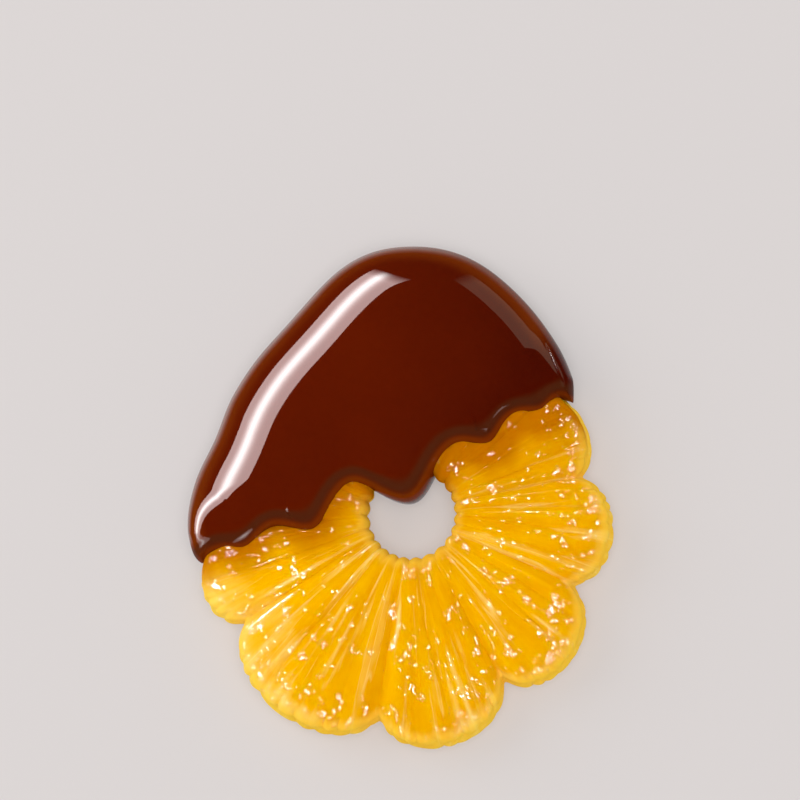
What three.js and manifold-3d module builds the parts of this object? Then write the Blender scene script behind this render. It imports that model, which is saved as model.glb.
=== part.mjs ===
// A ring of candied pineapple, half covered with chocolate that has set, lying on its back.
// Millimetres, +Z up. The chocolate is towards +Y, and the bare half rests on its lowest folds.
// The shapes are worked out about the middle of the ring's hole, and the group then puts the
// middle of the whole thing over the origin.
import * as THREE from "three";
import { mergeVertices } from "three/addons/utils/BufferGeometryUtils.js";
import Module from "manifold-3d";

// The lobes of the ring, anticlockwise from +X: the angle of the notch where each begins, how far
// it reaches from the middle of the hole, how many folds fan out over it, and the notch's depth.
const LOBES = [
  { start: 12, reach: 35.2, folds: 4, notch: 4.2 },
  { start: 49, reach: 35.4, folds: 4, notch: 4.6 },
  { start: 88, reach: 35.6, folds: 4, notch: 4.6 },
  { start: 122, reach: 35.4, folds: 4, notch: 4.6 },
  { start: 154, reach: 36.4, folds: 4, notch: 4.6 },
  { start: 184.5, reach: 40.4, folds: 4, notch: 4.6 },
  { start: 212.2, reach: 43.1, folds: 5, notch: 5 },
  { start: 260.5, reach: 42.1, folds: 4, notch: 5 },
  { start: 298.7, reach: 38.9, folds: 4, notch: 5.7 },
  { start: 335.9, reach: 36.5, folds: 4, notch: 5.5 },
];
const NOTCH_ROUNDING = 1.2;
const NOTCH_SOFTNESS = 0.1; // 0 makes a lobe's end an ellipse, more makes the notches wider
const HOLE_RADIUS = 7.9;
const HOLE_BUMPS = 24; // small bumps round the hole
const BUMP_DEPTH = 0.5;
const BUMP_SWAY = 0.5; // how unevenly the bumps are spaced
const RING_THICKNESS = 11;
const FRONT_TAPER = 0.9; // how much less far the face reaches than the back
const FOLD_DEPTH = 0.6;
const FOLD_POWER = 0.7; // less than 1 makes the ridges broad and the valleys narrow
const FOLD_SWAY = 0.05; // how far the folds wander sideways, as a share of the lobe
const FOLD_START = { depth: 0.3, full: 0.75 }; // their depth at the hole, and where it is full
const FOLD_STRENGTH = { mean: 0.6, spread: 0.4, beside: 0.7 }; // beside: next to the creases
const CREASE_DEPTH = 1.3; // the crease that runs in from each notch
const CREASE_HALF_WIDTH = 1.8;
const CREASE_POWER = 2; // how fast the creases deepen outwards
const LOBE_DOME = 0.7; // how much a lobe's sides lie below its middle
const DOME_POWER = 2.5;
const WAIST_DEPTH = 0.5; // the groove round the outer wall
const WAIST_HALF_WIDTH = 1.4;
const WAIST_HEIGHT = 0.8; // of the groove, above the wall's middle
const WAIST_FROM = 0.5; // how far out in the section it begins
const BACK_PHASE = 2.6; // sets the folds on the back apart from those on the face
const PROFILE_POWER = 3.6; // a superellipse section: 2 is an ellipse, more is squarer
const SEGMENTS_PER_LOBE = 18;
const SECTION_SIDES = 20;

// How the ring lies: raised on the chocolate's side, by a turn about the line of the lip.
const LIP_BEARING = 23.4; // the direction of the chocolate's lower edge, from +X
const LEAN = 2.4;
const RING_HEIGHT = 6.5; // the middle of the hole above the surface below
const CLEARANCE = 0.3; // between the fruit and its chocolate

// The chocolate: its outer reach from the middle of the hole by angle, and the crest on it.
const COAT_REACH = [
  { angle: 192.5, reach: 39.6 },
  { angle: 183, reach: 40.3 },
  { angle: 172, reach: 39.7 },
  { angle: 158.5, reach: 38.2 },
  { angle: 146, reach: 39.0 },
  { angle: 131, reach: 39.8 },
  { angle: 112, reach: 39.5 },
  { angle: 70, reach: 39.5 },
  { angle: 58, reach: 39.6 },
  { angle: 48, reach: 38.9 },
  { angle: 40, reach: 37.4 },
  { angle: 34.3, reach: 35.3 },
];
const CREST = { angle: 91, rise: 8.9, left: 25.5, right: 30, power: 2.5 };
const TIP_INSET = { left: 1.5, right: 0.4 }; // how far the outline turns in at the coat's tips
const TIP_LENGTH = 2.6;
const EDGE_LENGTH = 107; // of the whole outline, from tip to tip
// The runs that hang from the lip: how far along it, how far down, and how wide. Those that go up
// are notches between two runs.
const RUNS = [
  { place: 8.2, reach: 3.1, halfWidth: 4.4 },
  { place: 20.6, reach: 4.7, halfWidth: 4.9 },
  { place: 30.9, reach: -1.9, halfWidth: 3.5 },
  { place: 38.7, reach: 6.8, halfWidth: 7 },
  { place: 55.4, reach: 3.2, halfWidth: 3.8 },
  { place: 66.3, reach: 1.7, halfWidth: 3.1 },
  { place: 70, reach: -0.6, halfWidth: 1.8 },
];
const RUN_FADE = 0.8; // how fast the runs widen and flatten up the coat
const LIP_RISE = 1.85; // how far the lip arches above the line between its ends
const LIP_FADE = { left: 10, right: 20 }; // more makes the lip turn more sharply to its end
const LIP_RADIUS = 1.9;
const LIP_SINK = 0.6; // how far the lip's foot lies below the fruit's face
const LIP_HEIGHT = 1.3; // the bead on the lip, above the fruit
const DRIP_RADIUS = 2.2; // the rounding of the edge that hangs in the hole
const DRIP_DEPTH = 2.6; // how far below the fruit's face that edge is widest
const DRIP_FROM = -1; // the drip begins between these two, outside the hole's nominal edge
const DRIP_TO = 1.5;
const TROUGH_DEPTH = 0.2; // the hollow behind the bead
const TROUGH_PLACE = 3.1;
const TROUGH_HALF_WIDTH = 1.3;
const COVER = 2.3; // the thickness over the fruit, away from the lip
const COVER_FROM = 2.5;
const COVER_TO = 10;
const RIM_SINK = 0.9; // how far at most the lip follows the fruit's rounded rim down
const TIP_SHOULDER = { radius: 9, power: 3.2 }; // the rounding of the outer edge at the tips
const BROAD_SHOULDER = { radius: 15, power: 2 }; // and away from them
const SHOULDER_BLEND = 0.22; // the share of the coat's length between the two
const FOOT_RADIUS = 5;
const WIDEST_HEIGHT = 6.2; // the height at which the coat reaches furthest out
const FOOT_CUT = 0.4; // what the flat foot takes off the round underside
const BACK_RETREAT = 1.6; // how much higher up the ring the lip lies on the back
const RETREAT_WITHIN = 0.025; // the share of the way to the edge in which it moves up
const COAT_STEPS_ALONG = 66;
const COAT_STEPS_ROUND = 26;
const CURVE_SAMPLES = 160;
const SLOPE_STEP = 0.1; // over which the lip's slope is measured

const GROUND = { size: 200, depth: 20 }; // a block cut away below the candy

// The middle of the hole, measured from the middle of the whole thing.
const HOLE_PLACE = { x: 2.18, y: -3.42 };

const { degToRad, lerp, clamp, smoothstep, euclideanModulo } = THREE.MathUtils;
const FULL_TURN = 360;

const wasm = await Module();
wasm.setup();

function bell(distance, halfWidth, power = 2) {
  return Math.exp(-(Math.abs(distance / halfWidth) ** power));
}

// The height of a rounded edge, from 0 at the edge to 1 at a radius inside it.
function rounded(distance, radius, power = 2) {
  const short = 1 - clamp(distance / radius, 0, 1);
  return (1 - short ** power) ** (1 / power);
}

function signedPower(value, power) {
  return Math.sign(value) * Math.abs(value) ** power;
}

// The lobe at an angle, the angle's place in it, and how far across it that is, all in degrees.
function lobeAt(degrees) {
  const turned = LOBES[0].start + euclideanModulo(degrees - LOBES[0].start, FULL_TURN);
  let index = LOBES.length - 1;
  while (LOBES[index].start > turned) index -= 1;
  const lobe = LOBES[index];
  const end = index + 1 < LOBES.length ? LOBES[index + 1].start : LOBES[0].start + FULL_TURN;
  return { index, lobe, place: turned - lobe.start, width: end - lobe.start };
}

function notchRadius(index) {
  const before = LOBES[euclideanModulo(index - 1, LOBES.length)];
  const after = LOBES[index % LOBES.length];
  return (before.reach + after.reach) / 2 - after.notch;
}

// The reach of the outer wall: an arch over each lobe, and a rounded notch between two.
function outerRadius(degrees) {
  const { index, lobe, place, width } = lobeAt(degrees);
  const start = notchRadius(index);
  const end = notchRadius(index + 1);
  const middle = (start + end) / 2;
  const arc = degToRad(Math.min(place, width - place)) * middle;
  const climbed = Math.hypot(arc, NOTCH_ROUNDING) - NOTCH_ROUNDING;
  const whole = Math.hypot(degToRad(width / 2) * middle, NOTCH_ROUNDING) - NOTCH_ROUNDING;
  const short = 1 - climbed / whole;
  const arch = Math.sqrt(Math.max(0, 1 - short ** 2) + NOTCH_SOFTNESS ** 2) - NOTCH_SOFTNESS;
  const swell = arch / (Math.hypot(1, NOTCH_SOFTNESS) - NOTCH_SOFTNESS);
  return lerp(start, end, place / width) + (lobe.reach - middle) * swell;
}

function holeRadius(degrees) {
  const turn = degToRad(degrees);
  const bumps = Math.abs(Math.sin((turn * HOLE_BUMPS) / 2 + BUMP_SWAY * Math.sin(3 * turn)));
  return HOLE_RADIUS + BUMP_DEPTH * (0.5 - bumps);
}

// How deep the crease from the nearest notch is at a place, from 0 to 1.
function creaseAt(degrees, reach, share, halfWidth) {
  const { place, width } = lobeAt(degrees);
  const arc = degToRad(Math.min(place, width - place)) * reach;
  return share ** CREASE_POWER * bell(arc, halfWidth);
}

// How far the fruit's face lies from the flat, at a share of the way from the hole to the rim.
function faceRelief(degrees, share, phase) {
  const { index, lobe, place, width } = lobeAt(degrees);
  const across = place / width;
  const wave = Math.sin(index * 1.9 + phase + 4 * share);
  const valley = lobe.folds * (across + FOLD_SWAY * Math.sin(Math.PI * across) * wave);
  const nearest = Math.round(valley);
  const uneven = Math.sin(2.4 * (5 * index + nearest) + phase);
  const strength =
    nearest > 0 && nearest < lobe.folds
      ? FOLD_STRENGTH.mean + FOLD_STRENGTH.spread * uneven
      : FOLD_STRENGTH.beside;
  const fold = Math.abs(Math.sin(Math.PI * valley)) ** FOLD_POWER;
  const grow = lerp(FOLD_START.depth, 1, smoothstep(share, 0, FOLD_START.full));
  const deepest = FOLD_DEPTH * strength * grow;
  const reach = lerp(HOLE_RADIUS, outerRadius(degrees), share);
  const crease = CREASE_DEPTH * creaseAt(degrees, reach, share, CREASE_HALF_WIDTH);
  const dome = LOBE_DOME * share * Math.abs(2 * across - 1) ** DOME_POWER;
  return deepest * (fold - 1) - crease - dome;
}

// A point of the ring's surface, from an angle about its axis and one round its section.
function ringPoint(degrees, sectionAngle, grown) {
  const out = signedPower(Math.cos(sectionAngle), 2 / PROFILE_POWER);
  const up = signedPower(Math.sin(sectionAngle), 2 / PROFILE_POWER);
  const share = (1 + out) / 2;
  const relief = faceRelief(degrees, share, up > 0 ? 0 : BACK_PHASE);
  const height = up * (RING_THICKNESS / 2 + relief * Math.abs(up) + grown);
  const groove = bell(height - WAIST_HEIGHT, WAIST_HALF_WIDTH);
  const wall = smoothstep(out, WAIST_FROM, 1) * WAIST_DEPTH * groove;
  const inner = holeRadius(degrees) - grown;
  const outer = outerRadius(degrees) - (FRONT_TAPER * (1 + up)) / 2 + grown;
  const radius = lerp(inner, outer, share) - wall;
  const turn = degToRad(degrees);
  return new THREE.Vector3(radius * Math.cos(turn), radius * Math.sin(turn), height);
}

// Bends a closed three.js geometry into shape: each vertex goes where its two texture
// coordinates, one each way over the surface, put it.
function bentGeometry(geometry, placeOf) {
  const { position, uv } = geometry.attributes;
  for (let i = 0; i < position.count; i += 1) {
    const place = placeOf(uv.getX(i), uv.getY(i));
    position.setXYZ(i, place.x, place.y, place.z);
  }
  geometry.deleteAttribute("uv");
  geometry.deleteAttribute("normal");
  return mergeVertices(geometry, 1e-4);
}

// Lobes have equal numbers of segments, so that one falls on every notch.
function ringAngle(share) {
  const place = share * LOBES.length;
  const index = Math.min(Math.floor(place + 1e-6), LOBES.length - 1);
  const start = LOBES[index].start;
  const end = index + 1 < LOBES.length ? LOBES[index + 1].start : LOBES[0].start + FULL_TURN;
  return lerp(start, end, place - index);
}

function ringGeometry(grown) {
  const torus = new THREE.TorusGeometry(1, 0.5, SECTION_SIDES, SEGMENTS_PER_LOBE * LOBES.length);
  const halfSide = 0.5 / SECTION_SIDES; // puts a row of corners where the ring is widest
  return bentGeometry(torus, (round, section) =>
    ringPoint(ringAngle(round % 1), ((section % 1) + halfSide) * 2 * Math.PI, grown),
  );
}

// A smooth line through the named reaches.
function baseReach(degrees) {
  const curve = new THREE.SplineCurve(COAT_REACH.map((p) => new THREE.Vector2(-p.angle, p.reach)));
  const last = COAT_REACH.length - 1;
  let index = 0;
  while (index < last - 1 && COAT_REACH[index + 1].angle > degrees) index += 1;
  const from = COAT_REACH[index];
  const to = COAT_REACH[index + 1];
  return curve.getPoint((index + (from.angle - degrees) / (from.angle - to.angle)) / last).y;
}

// The coat's widest outline, from its left tip at 0 over the crest to its right tip at 1.
function coatEdge(along) {
  const degrees = lerp(COAT_REACH[0].angle, COAT_REACH.at(-1).angle, along);
  const halfWidth = degrees > CREST.angle ? CREST.left : CREST.right;
  const crest = CREST.rise * bell(degrees - CREST.angle, halfWidth, CREST.power);
  const fromTip = Math.min(along, 1 - along) * EDGE_LENGTH;
  const inset = along < 0.5 ? TIP_INSET.left : TIP_INSET.right;
  const radius = baseReach(degrees) + crest - inset * (1 - rounded(fromTip, TIP_LENGTH));
  const turn = degToRad(degrees);
  return new THREE.Vector2(radius * Math.cos(turn), radius * Math.sin(turn));
}

const LEFT_TIP = coatEdge(0);
const RIGHT_TIP = coatEdge(1);
const LIP_LENGTH = LEFT_TIP.distanceTo(RIGHT_TIP);
const LIP_WAY = RIGHT_TIP.clone().sub(LEFT_TIP).normalize();
const UP_THE_COAT = new THREE.Vector2(-LIP_WAY.y, LIP_WAY.x);

// How far the lip lies up the coat from the line between its tips, at a place along it. Widened,
// its runs are broader and shallower.
function lipRise(place, widened = 0) {
  const rise = RUNS.reduce((sum, run) => {
    const wide = Math.hypot(run.halfWidth, widened);
    return sum - ((run.reach * run.halfWidth) / wide) * bell(place - run.place, wide);
  }, LIP_RISE);
  const along = clamp(place / LIP_LENGTH, 0, 1);
  const fade = along < 0.5 ? LIP_FADE.left : LIP_FADE.right;
  return rise * (1 - Math.abs(2 * along - 1) ** fade);
}

// The coat's lower edge on the fruit's face, with its runs, from the left tip to the right one.
function lipPoint(along) {
  const place = along * LIP_LENGTH;
  return LEFT_TIP.clone()
    .addScaledVector(LIP_WAY, place)
    .addScaledVector(UP_THE_COAT, lipRise(place));
}

// How far up the coat from its lip a point lies. It is the distance near the lip, and further in
// the runs fade away.
function distanceFromLip(point) {
  const fromTip = point.clone().sub(LEFT_TIP);
  const place = fromTip.dot(LIP_WAY);
  const up = fromTip.dot(UP_THE_COAT);
  const widened = RUN_FADE * Math.max(0, up - lipRise(place));
  const change = lipRise(place + SLOPE_STEP, widened) - lipRise(place - SLOPE_STEP, widened);
  const slope = change / (2 * SLOPE_STEP);
  return Math.max(0, (up - lipRise(place, widened)) / Math.hypot(1, slope));
}

function sampled(curve) {
  return Array.from({ length: CURVE_SAMPLES + 1 }, (_, i) => curve(i / CURVE_SAMPLES));
}

const EDGE_SAMPLES = sampled(coatEdge);

function distanceToSegment(start, end, point) {
  const way = end.clone().sub(start);
  const share = clamp(point.clone().sub(start).dot(way) / way.lengthSq(), 0, 1);
  return start.clone().addScaledVector(way, share).distanceTo(point);
}

function distanceFromEdge(point) {
  const distances = EDGE_SAMPLES.slice(1).map((end, i) =>
    distanceToSegment(EDGE_SAMPLES[i], end, point),
  );
  return Math.min(...distances);
}

// The height of the fruit's nominal face, which leans, above the surface below.
function faceLevel(point) {
  const bearing = degToRad(LIP_BEARING);
  const across = point.y * Math.cos(bearing) - point.x * Math.sin(bearing);
  return RING_HEIGHT + RING_THICKNESS / 2 + across * Math.tan(degToRad(LEAN));
}

// How far the fruit, without its folds, lies below its nominal face, at most to its middle plane:
// round its outer wall and its creases, and round the hole.
function faceDrop(point) {
  const degrees = THREE.MathUtils.radToDeg(Math.atan2(point.y, point.x));
  const inner = holeRadius(degrees);
  const outer = outerRadius(degrees) - FRONT_TAPER;
  const share = clamp((point.length() - inner) / (outer - inner), 0, 1);
  const section = (1 - Math.abs(2 * share - 1) ** PROFILE_POWER) ** (1 / PROFILE_POWER);
  const crease = CREASE_DEPTH * creaseAt(degrees, point.length(), share, 2 * CREASE_HALF_WIDTH);
  const drop = RING_THICKNESS / 2 - section * (RING_THICKNESS / 2 - crease * section);
  return share > 0.5 ? { outside: drop, hole: 0 } : { outside: 0, hole: drop };
}

// The height of the coat's face: a bead on its lip, a hollow behind that, and a broad pillow that
// falls away to its outer edge.
function coatFaceHeight(place, along) {
  const fromLip = distanceFromLip(place);
  const overHole =
    1 - smoothstep(place.length(), HOLE_RADIUS + DRIP_FROM, HOLE_RADIUS + DRIP_TO);
  const cover = smoothstep(fromLip, COVER_FROM, COVER_TO);
  const level = faceLevel(place);
  const drop = faceDrop(place);
  const trough = TROUGH_DEPTH * bell(fromLip - TROUGH_PLACE, TROUGH_HALF_WIDTH);
  const sink = Math.min(drop.outside, RIM_SINK) * (1 - cover);
  const top = level - sink - trough + lerp(LIP_HEIGHT, COVER, cover);
  const lowest = lerp(level - drop.outside - drop.hole - LIP_SINK, level - DRIP_DEPTH, overHole);
  const foot = Math.max(lowest, WIDEST_HEIGHT);
  const height = lerp(foot, top, rounded(fromLip, lerp(LIP_RADIUS, DRIP_RADIUS, overHole)));
  const broad = smoothstep(Math.min(along, 1 - along), 0, SHOULDER_BLEND);
  const shoulder = rounded(
    distanceFromEdge(place),
    lerp(TIP_SHOULDER.radius, BROAD_SHOULDER.radius, broad),
    lerp(TIP_SHOULDER.power, BROAD_SHOULDER.power, broad),
  );
  return lerp(WIDEST_HEIGHT, height, shoulder);
}

// A point of the coat's outside: along it from tip to tip, and round its section, which runs
// from the lip over the face to the edge at one half, and back to the lip underneath.
function coatPoint(along, round) {
  const across = (1 - Math.cos(2 * Math.PI * round)) / 2;
  const lip = lipPoint(along);
  const edge = coatEdge(along);
  if (round < 0.5) {
    const place = lip.lerp(edge, across);
    return new THREE.Vector3(place.x, place.y, coatFaceHeight(place, along));
  }
  const room = clamp(lip.distanceTo(edge) / TIP_SHOULDER.radius, 0, 1);
  lip.addScaledVector(UP_THE_COAT, BACK_RETREAT * room * clamp(across / RETREAT_WITHIN, 0, 1));
  const place = lip.lerp(edge, across);
  const drop =
    rounded(distanceFromEdge(place), FOOT_RADIUS) * rounded(distanceFromLip(place), DRIP_RADIUS);
  return new THREE.Vector3(place.x, place.y, lerp(WIDEST_HEIGHT, -FOOT_CUT, drop));
}

function coatGeometry() {
  const sphere = new THREE.SphereGeometry(1, COAT_STEPS_ROUND, COAT_STEPS_ALONG);
  return bentGeometry(sphere, (round, down) => coatPoint(1 - down, round % 1));
}

function solidOf(geometry) {
  const { position } = geometry.attributes;
  return new wasm.Manifold(
    new wasm.Mesh({
      numProp: 3,
      vertProperties: new Float32Array(position.array),
      triVerts: new Uint32Array(geometry.index.array),
    }),
  );
}

function geometryOf(solid) {
  const mesh = solid.getMesh();
  return new THREE.BufferGeometry()
    .setAttribute("position", new THREE.BufferAttribute(mesh.vertProperties, 3))
    .setIndex(new THREE.BufferAttribute(mesh.triVerts, 1));
}

// Where the ring lies among the shapes worked out about its hole.
const leanAxis = new THREE.Vector3(
  Math.cos(degToRad(LIP_BEARING)),
  Math.sin(degToRad(LIP_BEARING)),
  0,
);
const ringPlace = new THREE.Matrix4()
  .makeRotationAxis(leanAxis, degToRad(LEAN))
  .setPosition(0, 0, RING_HEIGHT);

// Everything below the surface that the candy lies on.
function groundSolid() {
  const ground = new THREE.BoxGeometry(GROUND.size, GROUND.size, GROUND.depth);
  ground.translate(0, 0, -GROUND.depth / 2);
  ground.deleteAttribute("uv");
  ground.deleteAttribute("normal");
  return solidOf(mergeVertices(ground));
}

function makeFruit() {
  const ring = solidOf(ringGeometry(0).applyMatrix4(ringPlace)).subtract(groundSolid());
  const flesh = new THREE.MeshStandardMaterial({ color: 0xf3af0a, roughness: 0.25 });
  const fruit = new THREE.Mesh(geometryOf(ring), flesh);
  fruit.name = "pineapple_ring";
  return fruit;
}

function makeCoat() {
  const cavity = solidOf(ringGeometry(CLEARANCE).applyMatrix4(ringPlace));
  const shell = solidOf(coatGeometry()).subtract(cavity).subtract(groundSolid());
  const pieces = shell.decompose().sort((a, b) => b.volume() - a.volume());
  const chocolate = new THREE.MeshStandardMaterial({ color: 0x581200, roughness: 0.12 });
  const coat = new THREE.Mesh(geometryOf(pieces[0]), chocolate);
  coat.name = "chocolate_coat";
  return coat;
}

const candy = new THREE.Group();
candy.position.set(HOLE_PLACE.x, HOLE_PLACE.y, 0);
candy.add(makeFruit(), makeCoat());

export default candy;
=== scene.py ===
"""A ring of candied pineapple, half covered with chocolate that has set: the looks of the model.

It is laid out as an add-on and run as a script. Every length is in metres, in the model's frame.
"""

import math
from collections import namedtuple

import bmesh
import bpy
from bpy.props import FloatProperty, FloatVectorProperty, PointerProperty
from mathutils import Matrix, Vector, kdtree, noise


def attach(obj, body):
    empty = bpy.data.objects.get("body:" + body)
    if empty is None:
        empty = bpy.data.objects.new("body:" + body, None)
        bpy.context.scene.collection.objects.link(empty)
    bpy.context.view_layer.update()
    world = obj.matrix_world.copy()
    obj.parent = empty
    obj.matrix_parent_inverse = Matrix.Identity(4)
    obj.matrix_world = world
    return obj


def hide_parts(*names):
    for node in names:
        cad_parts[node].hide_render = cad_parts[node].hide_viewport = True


bl_info = {
    "name": "Candied pineapple ring",
    "version": (1, 0, 0),
    "blender": (4, 5, 0),
    "location": "View3D > Sidebar > Candied ring",
    "description": "Makes a ring of candied pineapple that is half covered with chocolate",
    "category": "Add Mesh",
}

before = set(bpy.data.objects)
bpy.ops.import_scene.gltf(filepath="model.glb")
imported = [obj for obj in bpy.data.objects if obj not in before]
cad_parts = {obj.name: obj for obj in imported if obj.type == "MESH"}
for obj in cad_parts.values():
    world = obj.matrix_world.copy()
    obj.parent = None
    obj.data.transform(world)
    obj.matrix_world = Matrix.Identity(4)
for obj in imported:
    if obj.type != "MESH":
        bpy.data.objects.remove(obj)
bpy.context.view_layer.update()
BODY = "root"
FRUIT_NODE = "pineapple_ring"
COAT_NODE = "chocolate_coat"

MM = 0.001
FULL_TURN = 360.0
FLAT = Vector((1.0, 1.0, 0.0))

# The lobes of the ring, anticlockwise from +X: the angle of the notch where each begins, how far
# it reaches from the middle of the hole, how many folds fan out over it, and the notch's depth.
LOBES = (
    (12.0, 35.2 * MM, 4, 4.2 * MM),
    (49.0, 35.4 * MM, 4, 4.6 * MM),
    (88.0, 35.6 * MM, 4, 4.6 * MM),
    (122.0, 35.4 * MM, 4, 4.6 * MM),
    (154.0, 36.4 * MM, 4, 4.6 * MM),
    (184.5, 40.4 * MM, 4, 4.6 * MM),
    (212.2, 43.1 * MM, 5, 5.0 * MM),
    (260.5, 42.1 * MM, 4, 5.0 * MM),
    (298.7, 38.9 * MM, 4, 5.7 * MM),
    (335.9, 36.5 * MM, 4, 5.5 * MM),
)
NOTCH_ROUNDING = 1.2 * MM
NOTCH_SOFTNESS = 0.1  # 0 makes a lobe's end an ellipse, more makes the notches wider
HOLE_BUMPS = 24
FRONT_BEADS = 66
BACK_BEADS = 76
STRANDS_TO_A_FOLD = 3  # raised lines that run out along the folds
PROFILE_POWER = 3.6
FOLD_POWER = 0.7  # less than 1 makes the ridges broad and the valleys narrow
CREASE_HALF_WIDTH = 1.8 * MM
CREASE_POWER = 2.0  # how fast the creases deepen outwards
WAIST_HALF_WIDTH = 1.4 * MM
WAIST_HEIGHT = 0.8 * MM  # of the groove round the wall, above the wall's middle

# The mesh of the fruit: steps to a degree where it shows and under the coat, and round its section.
OPEN_STEPS = 3.25
COVERED_STEPS = 1.3
COVERED_LOBES = (2, 3)
SECTION_STEPS = 96
CUTTER_STEPS = 1.1
CUTTER_SECTION_STEPS = 44

# The coat's outer reach from the middle of the hole by angle, from its left tip to its right one.
COAT_REACH = (
    (192.5, 39.6 * MM),
    (183.0, 40.3 * MM),
    (172.0, 39.7 * MM),
    (158.5, 38.2 * MM),
    (146.0, 39.0 * MM),
    (131.0, 39.8 * MM),
    (112.0, 39.5 * MM),
    (70.0, 39.5 * MM),
    (58.0, 39.6 * MM),
    (48.0, 38.9 * MM),
    (40.0, 37.4 * MM),
    (34.3, 35.3 * MM),
)
CREST_ANGLE = 91.0
CREST_SPREAD_LEFT = 25.5
CREST_SPREAD_RIGHT = 30.0
CREST_POWER = 2.5
# The runs that hang from the lip: how far along it, how far down, and how wide. Those that go up
# are notches between two runs.
RUNS = (
    (8.2 * MM, 3.1 * MM, 4.4 * MM),
    (20.6 * MM, 4.7 * MM, 4.9 * MM),
    (30.9 * MM, -1.9 * MM, 3.5 * MM),
    (38.7 * MM, 6.8 * MM, 7.0 * MM),
    (55.4 * MM, 3.2 * MM, 3.8 * MM),
    (66.3 * MM, 1.7 * MM, 3.1 * MM),
    (70.0 * MM, -0.6 * MM, 1.8 * MM),
)
LIP_RISE = 1.85 * MM
LIP_FADES = (10.0, 20.0)  # more makes the lip turn more sharply to its left and its right end
LIP_RADIUS = 1.9 * MM
LIP_SINK = 0.6 * MM  # how far the lip's foot lies in the fruit
DRIP_RADIUS = 2.2 * MM
DRIP_DEPTH = 2.6 * MM  # of the lip's foot below the fruit's face, where it hangs over the hole
TROUGH_PLACE = 3.1 * MM
TROUGH_HALF_WIDTH = 1.3 * MM
RUN_FADE = 0.8  # how fast the runs widen and flatten up the coat, to each length from the lip
TIP_INSETS = (1.5 * MM, 0.4 * MM)  # how far the coat's outline turns in at its left and right tip
TIP_LENGTH = 2.6 * MM
EDGE_LENGTH = 107.0 * MM
COVER_FROM = 2.5 * MM
COVER_TO = 10.0 * MM
RIM_SINK = 0.9 * MM  # how far at most the lip follows the fruit's rounded rim down
TIP_SHOULDER = (9.0 * MM, 3.2)  # the rounding of the coat's outer edge at its tips: its radius,
BROAD_SHOULDER = (15.0 * MM, 2.0)  # and the power of its curve; and the same away from them
SHOULDER_BLEND = 0.15  # the share of the coat's length over which one turns into the other
FOOT_RADIUS = 5.0 * MM
WIDEST_HEIGHT = 6.2 * MM
FOOT_CUT = 0.4 * MM
BACK_RETREAT = 1.6 * MM
TRIM = 0.05 * MM  # keeps these finer shapes inside the solids' box
# The band on the lip is a painted reflection of the bright surroundings in the bead.
LIP_REFLECTION_BAND = (2.0 * MM, 1.0 * MM)  # the lighter band on the lip: its place, and half its width
COAT_STEPS_ALONG = 380
COAT_STEPS_ROUND = 160
LINE_SAMPLES = 1200
SMOOTH_FROM = 0.7 * MM  # distances from the coat's lines are smoothed further in than this
SMOOTH_ROUNDS = 60
SHARP_ANGLE = math.radians(55.0)
SECTION_SAMPLES = 4000
SECTION_HALF_SIZE = (16.0, 5.5)  # of the fruit's section, in millimetres, to space its points by
# Near its lip, and on the left near its outer edge, the chocolate is painted warmer and brighter:
# partly its own thin edge, and partly painted light for the fruit glowing behind it and for the lit
# side.
LIP_THINS = (0.5 * MM, 1.6 * MM)  # from the lip, the distances between which it grows thick
EDGE_THINS = (1.4 * MM, 4.2 * MM)  # and the same from the outer edge, on the left
LEFT_BLEND = 12.0 * MM
LIP_DULLS = (3.2 * MM, 4.6 * MM)  # from the lip, the distances between which its gloss grows full
LIT_WARM_FROM_TO = (26.0 * MM, -6.0 * MM)  # the chocolate painted warmer leftwards, as lit, between these
LIT_LEFT_FROM_TO = (-8.0 * MM, -40.0 * MM)  # and the fruit painted more yellow, as lit, between these

# The fruit's finer marks. The back's folds and fibres are shifted against the front's by a phase.
BACK_PHASE = 2.6
BEAD_WAVES = 30.0  # round the ring, by which the beads on the rims grow uneven
BEAD_DRIFT = 1.5
PUSTULE_PITCH = 1.5 * MM
PUSTULE_RADIUS = 0.55  # against their pitch
# The left lobe end is partly cloudy flesh and partly painted light: it is painted paler where light
# from the left falls.
PALE_END = 205.0  # the lobe end that is cloudy, in degrees from +X, and how far that spreads
PALE_SPREAD = 24.0
GLOSSY_STRANDS = (228.0, 42.0)  # the middle of the lobes whose strands shine, and half their width
LIP_SHADE_REACH = 7.0 * MM  # how far from the chocolate shade is painted on the fruit
SHADE_REACH = 17.0 * MM  # and how far painted shade darkens it a little on the right, and by how much
RIGHT_SHADE = 0.45
RIGHT_FROM_TO = (-5.0 * MM, 10.0 * MM)
# The patterns that fan out over the fruit: waves round the ring, waves to a metre outwards, and
# for the first three their contrast.
STREAKS = (45.0, 60.0, 2.6)
FIBRES = (330.0, 170.0, 2.0)
CLOUDS = (70.0, 40.0, 3.0)
VEINS = (85.0, 45.0)
WRINKLES = (360.0, 1100.0)
# A blister, in shares of its pitch from its middle: where it is level on top, where its side
# ends, and where the wet skin round it ends.
BLISTER_TOP, BLISTER_FOOT, BLISTER_SKIN = 0.2, 0.48, 0.54
SMALL_BLISTERS = (0.85 * MM, 0.45)  # their pitch, and how crowded they are
LARGE_BLISTERS = (1.6 * MM, 0.55)

FRUIT = "candied_pineapple"
CHOCOLATE = "chocolate"
GROUND_GLOSS_FROM_TO = (-0.25, -0.6)  # the heights of directions between which gloss brightens
LEFT = Vector((math.cos(math.radians(160.0)), math.sin(math.radians(160.0)), 0.0))
HORIZON_HEIGHT = 0.5  # of the highest directions that the light near the horizon comes from

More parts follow.
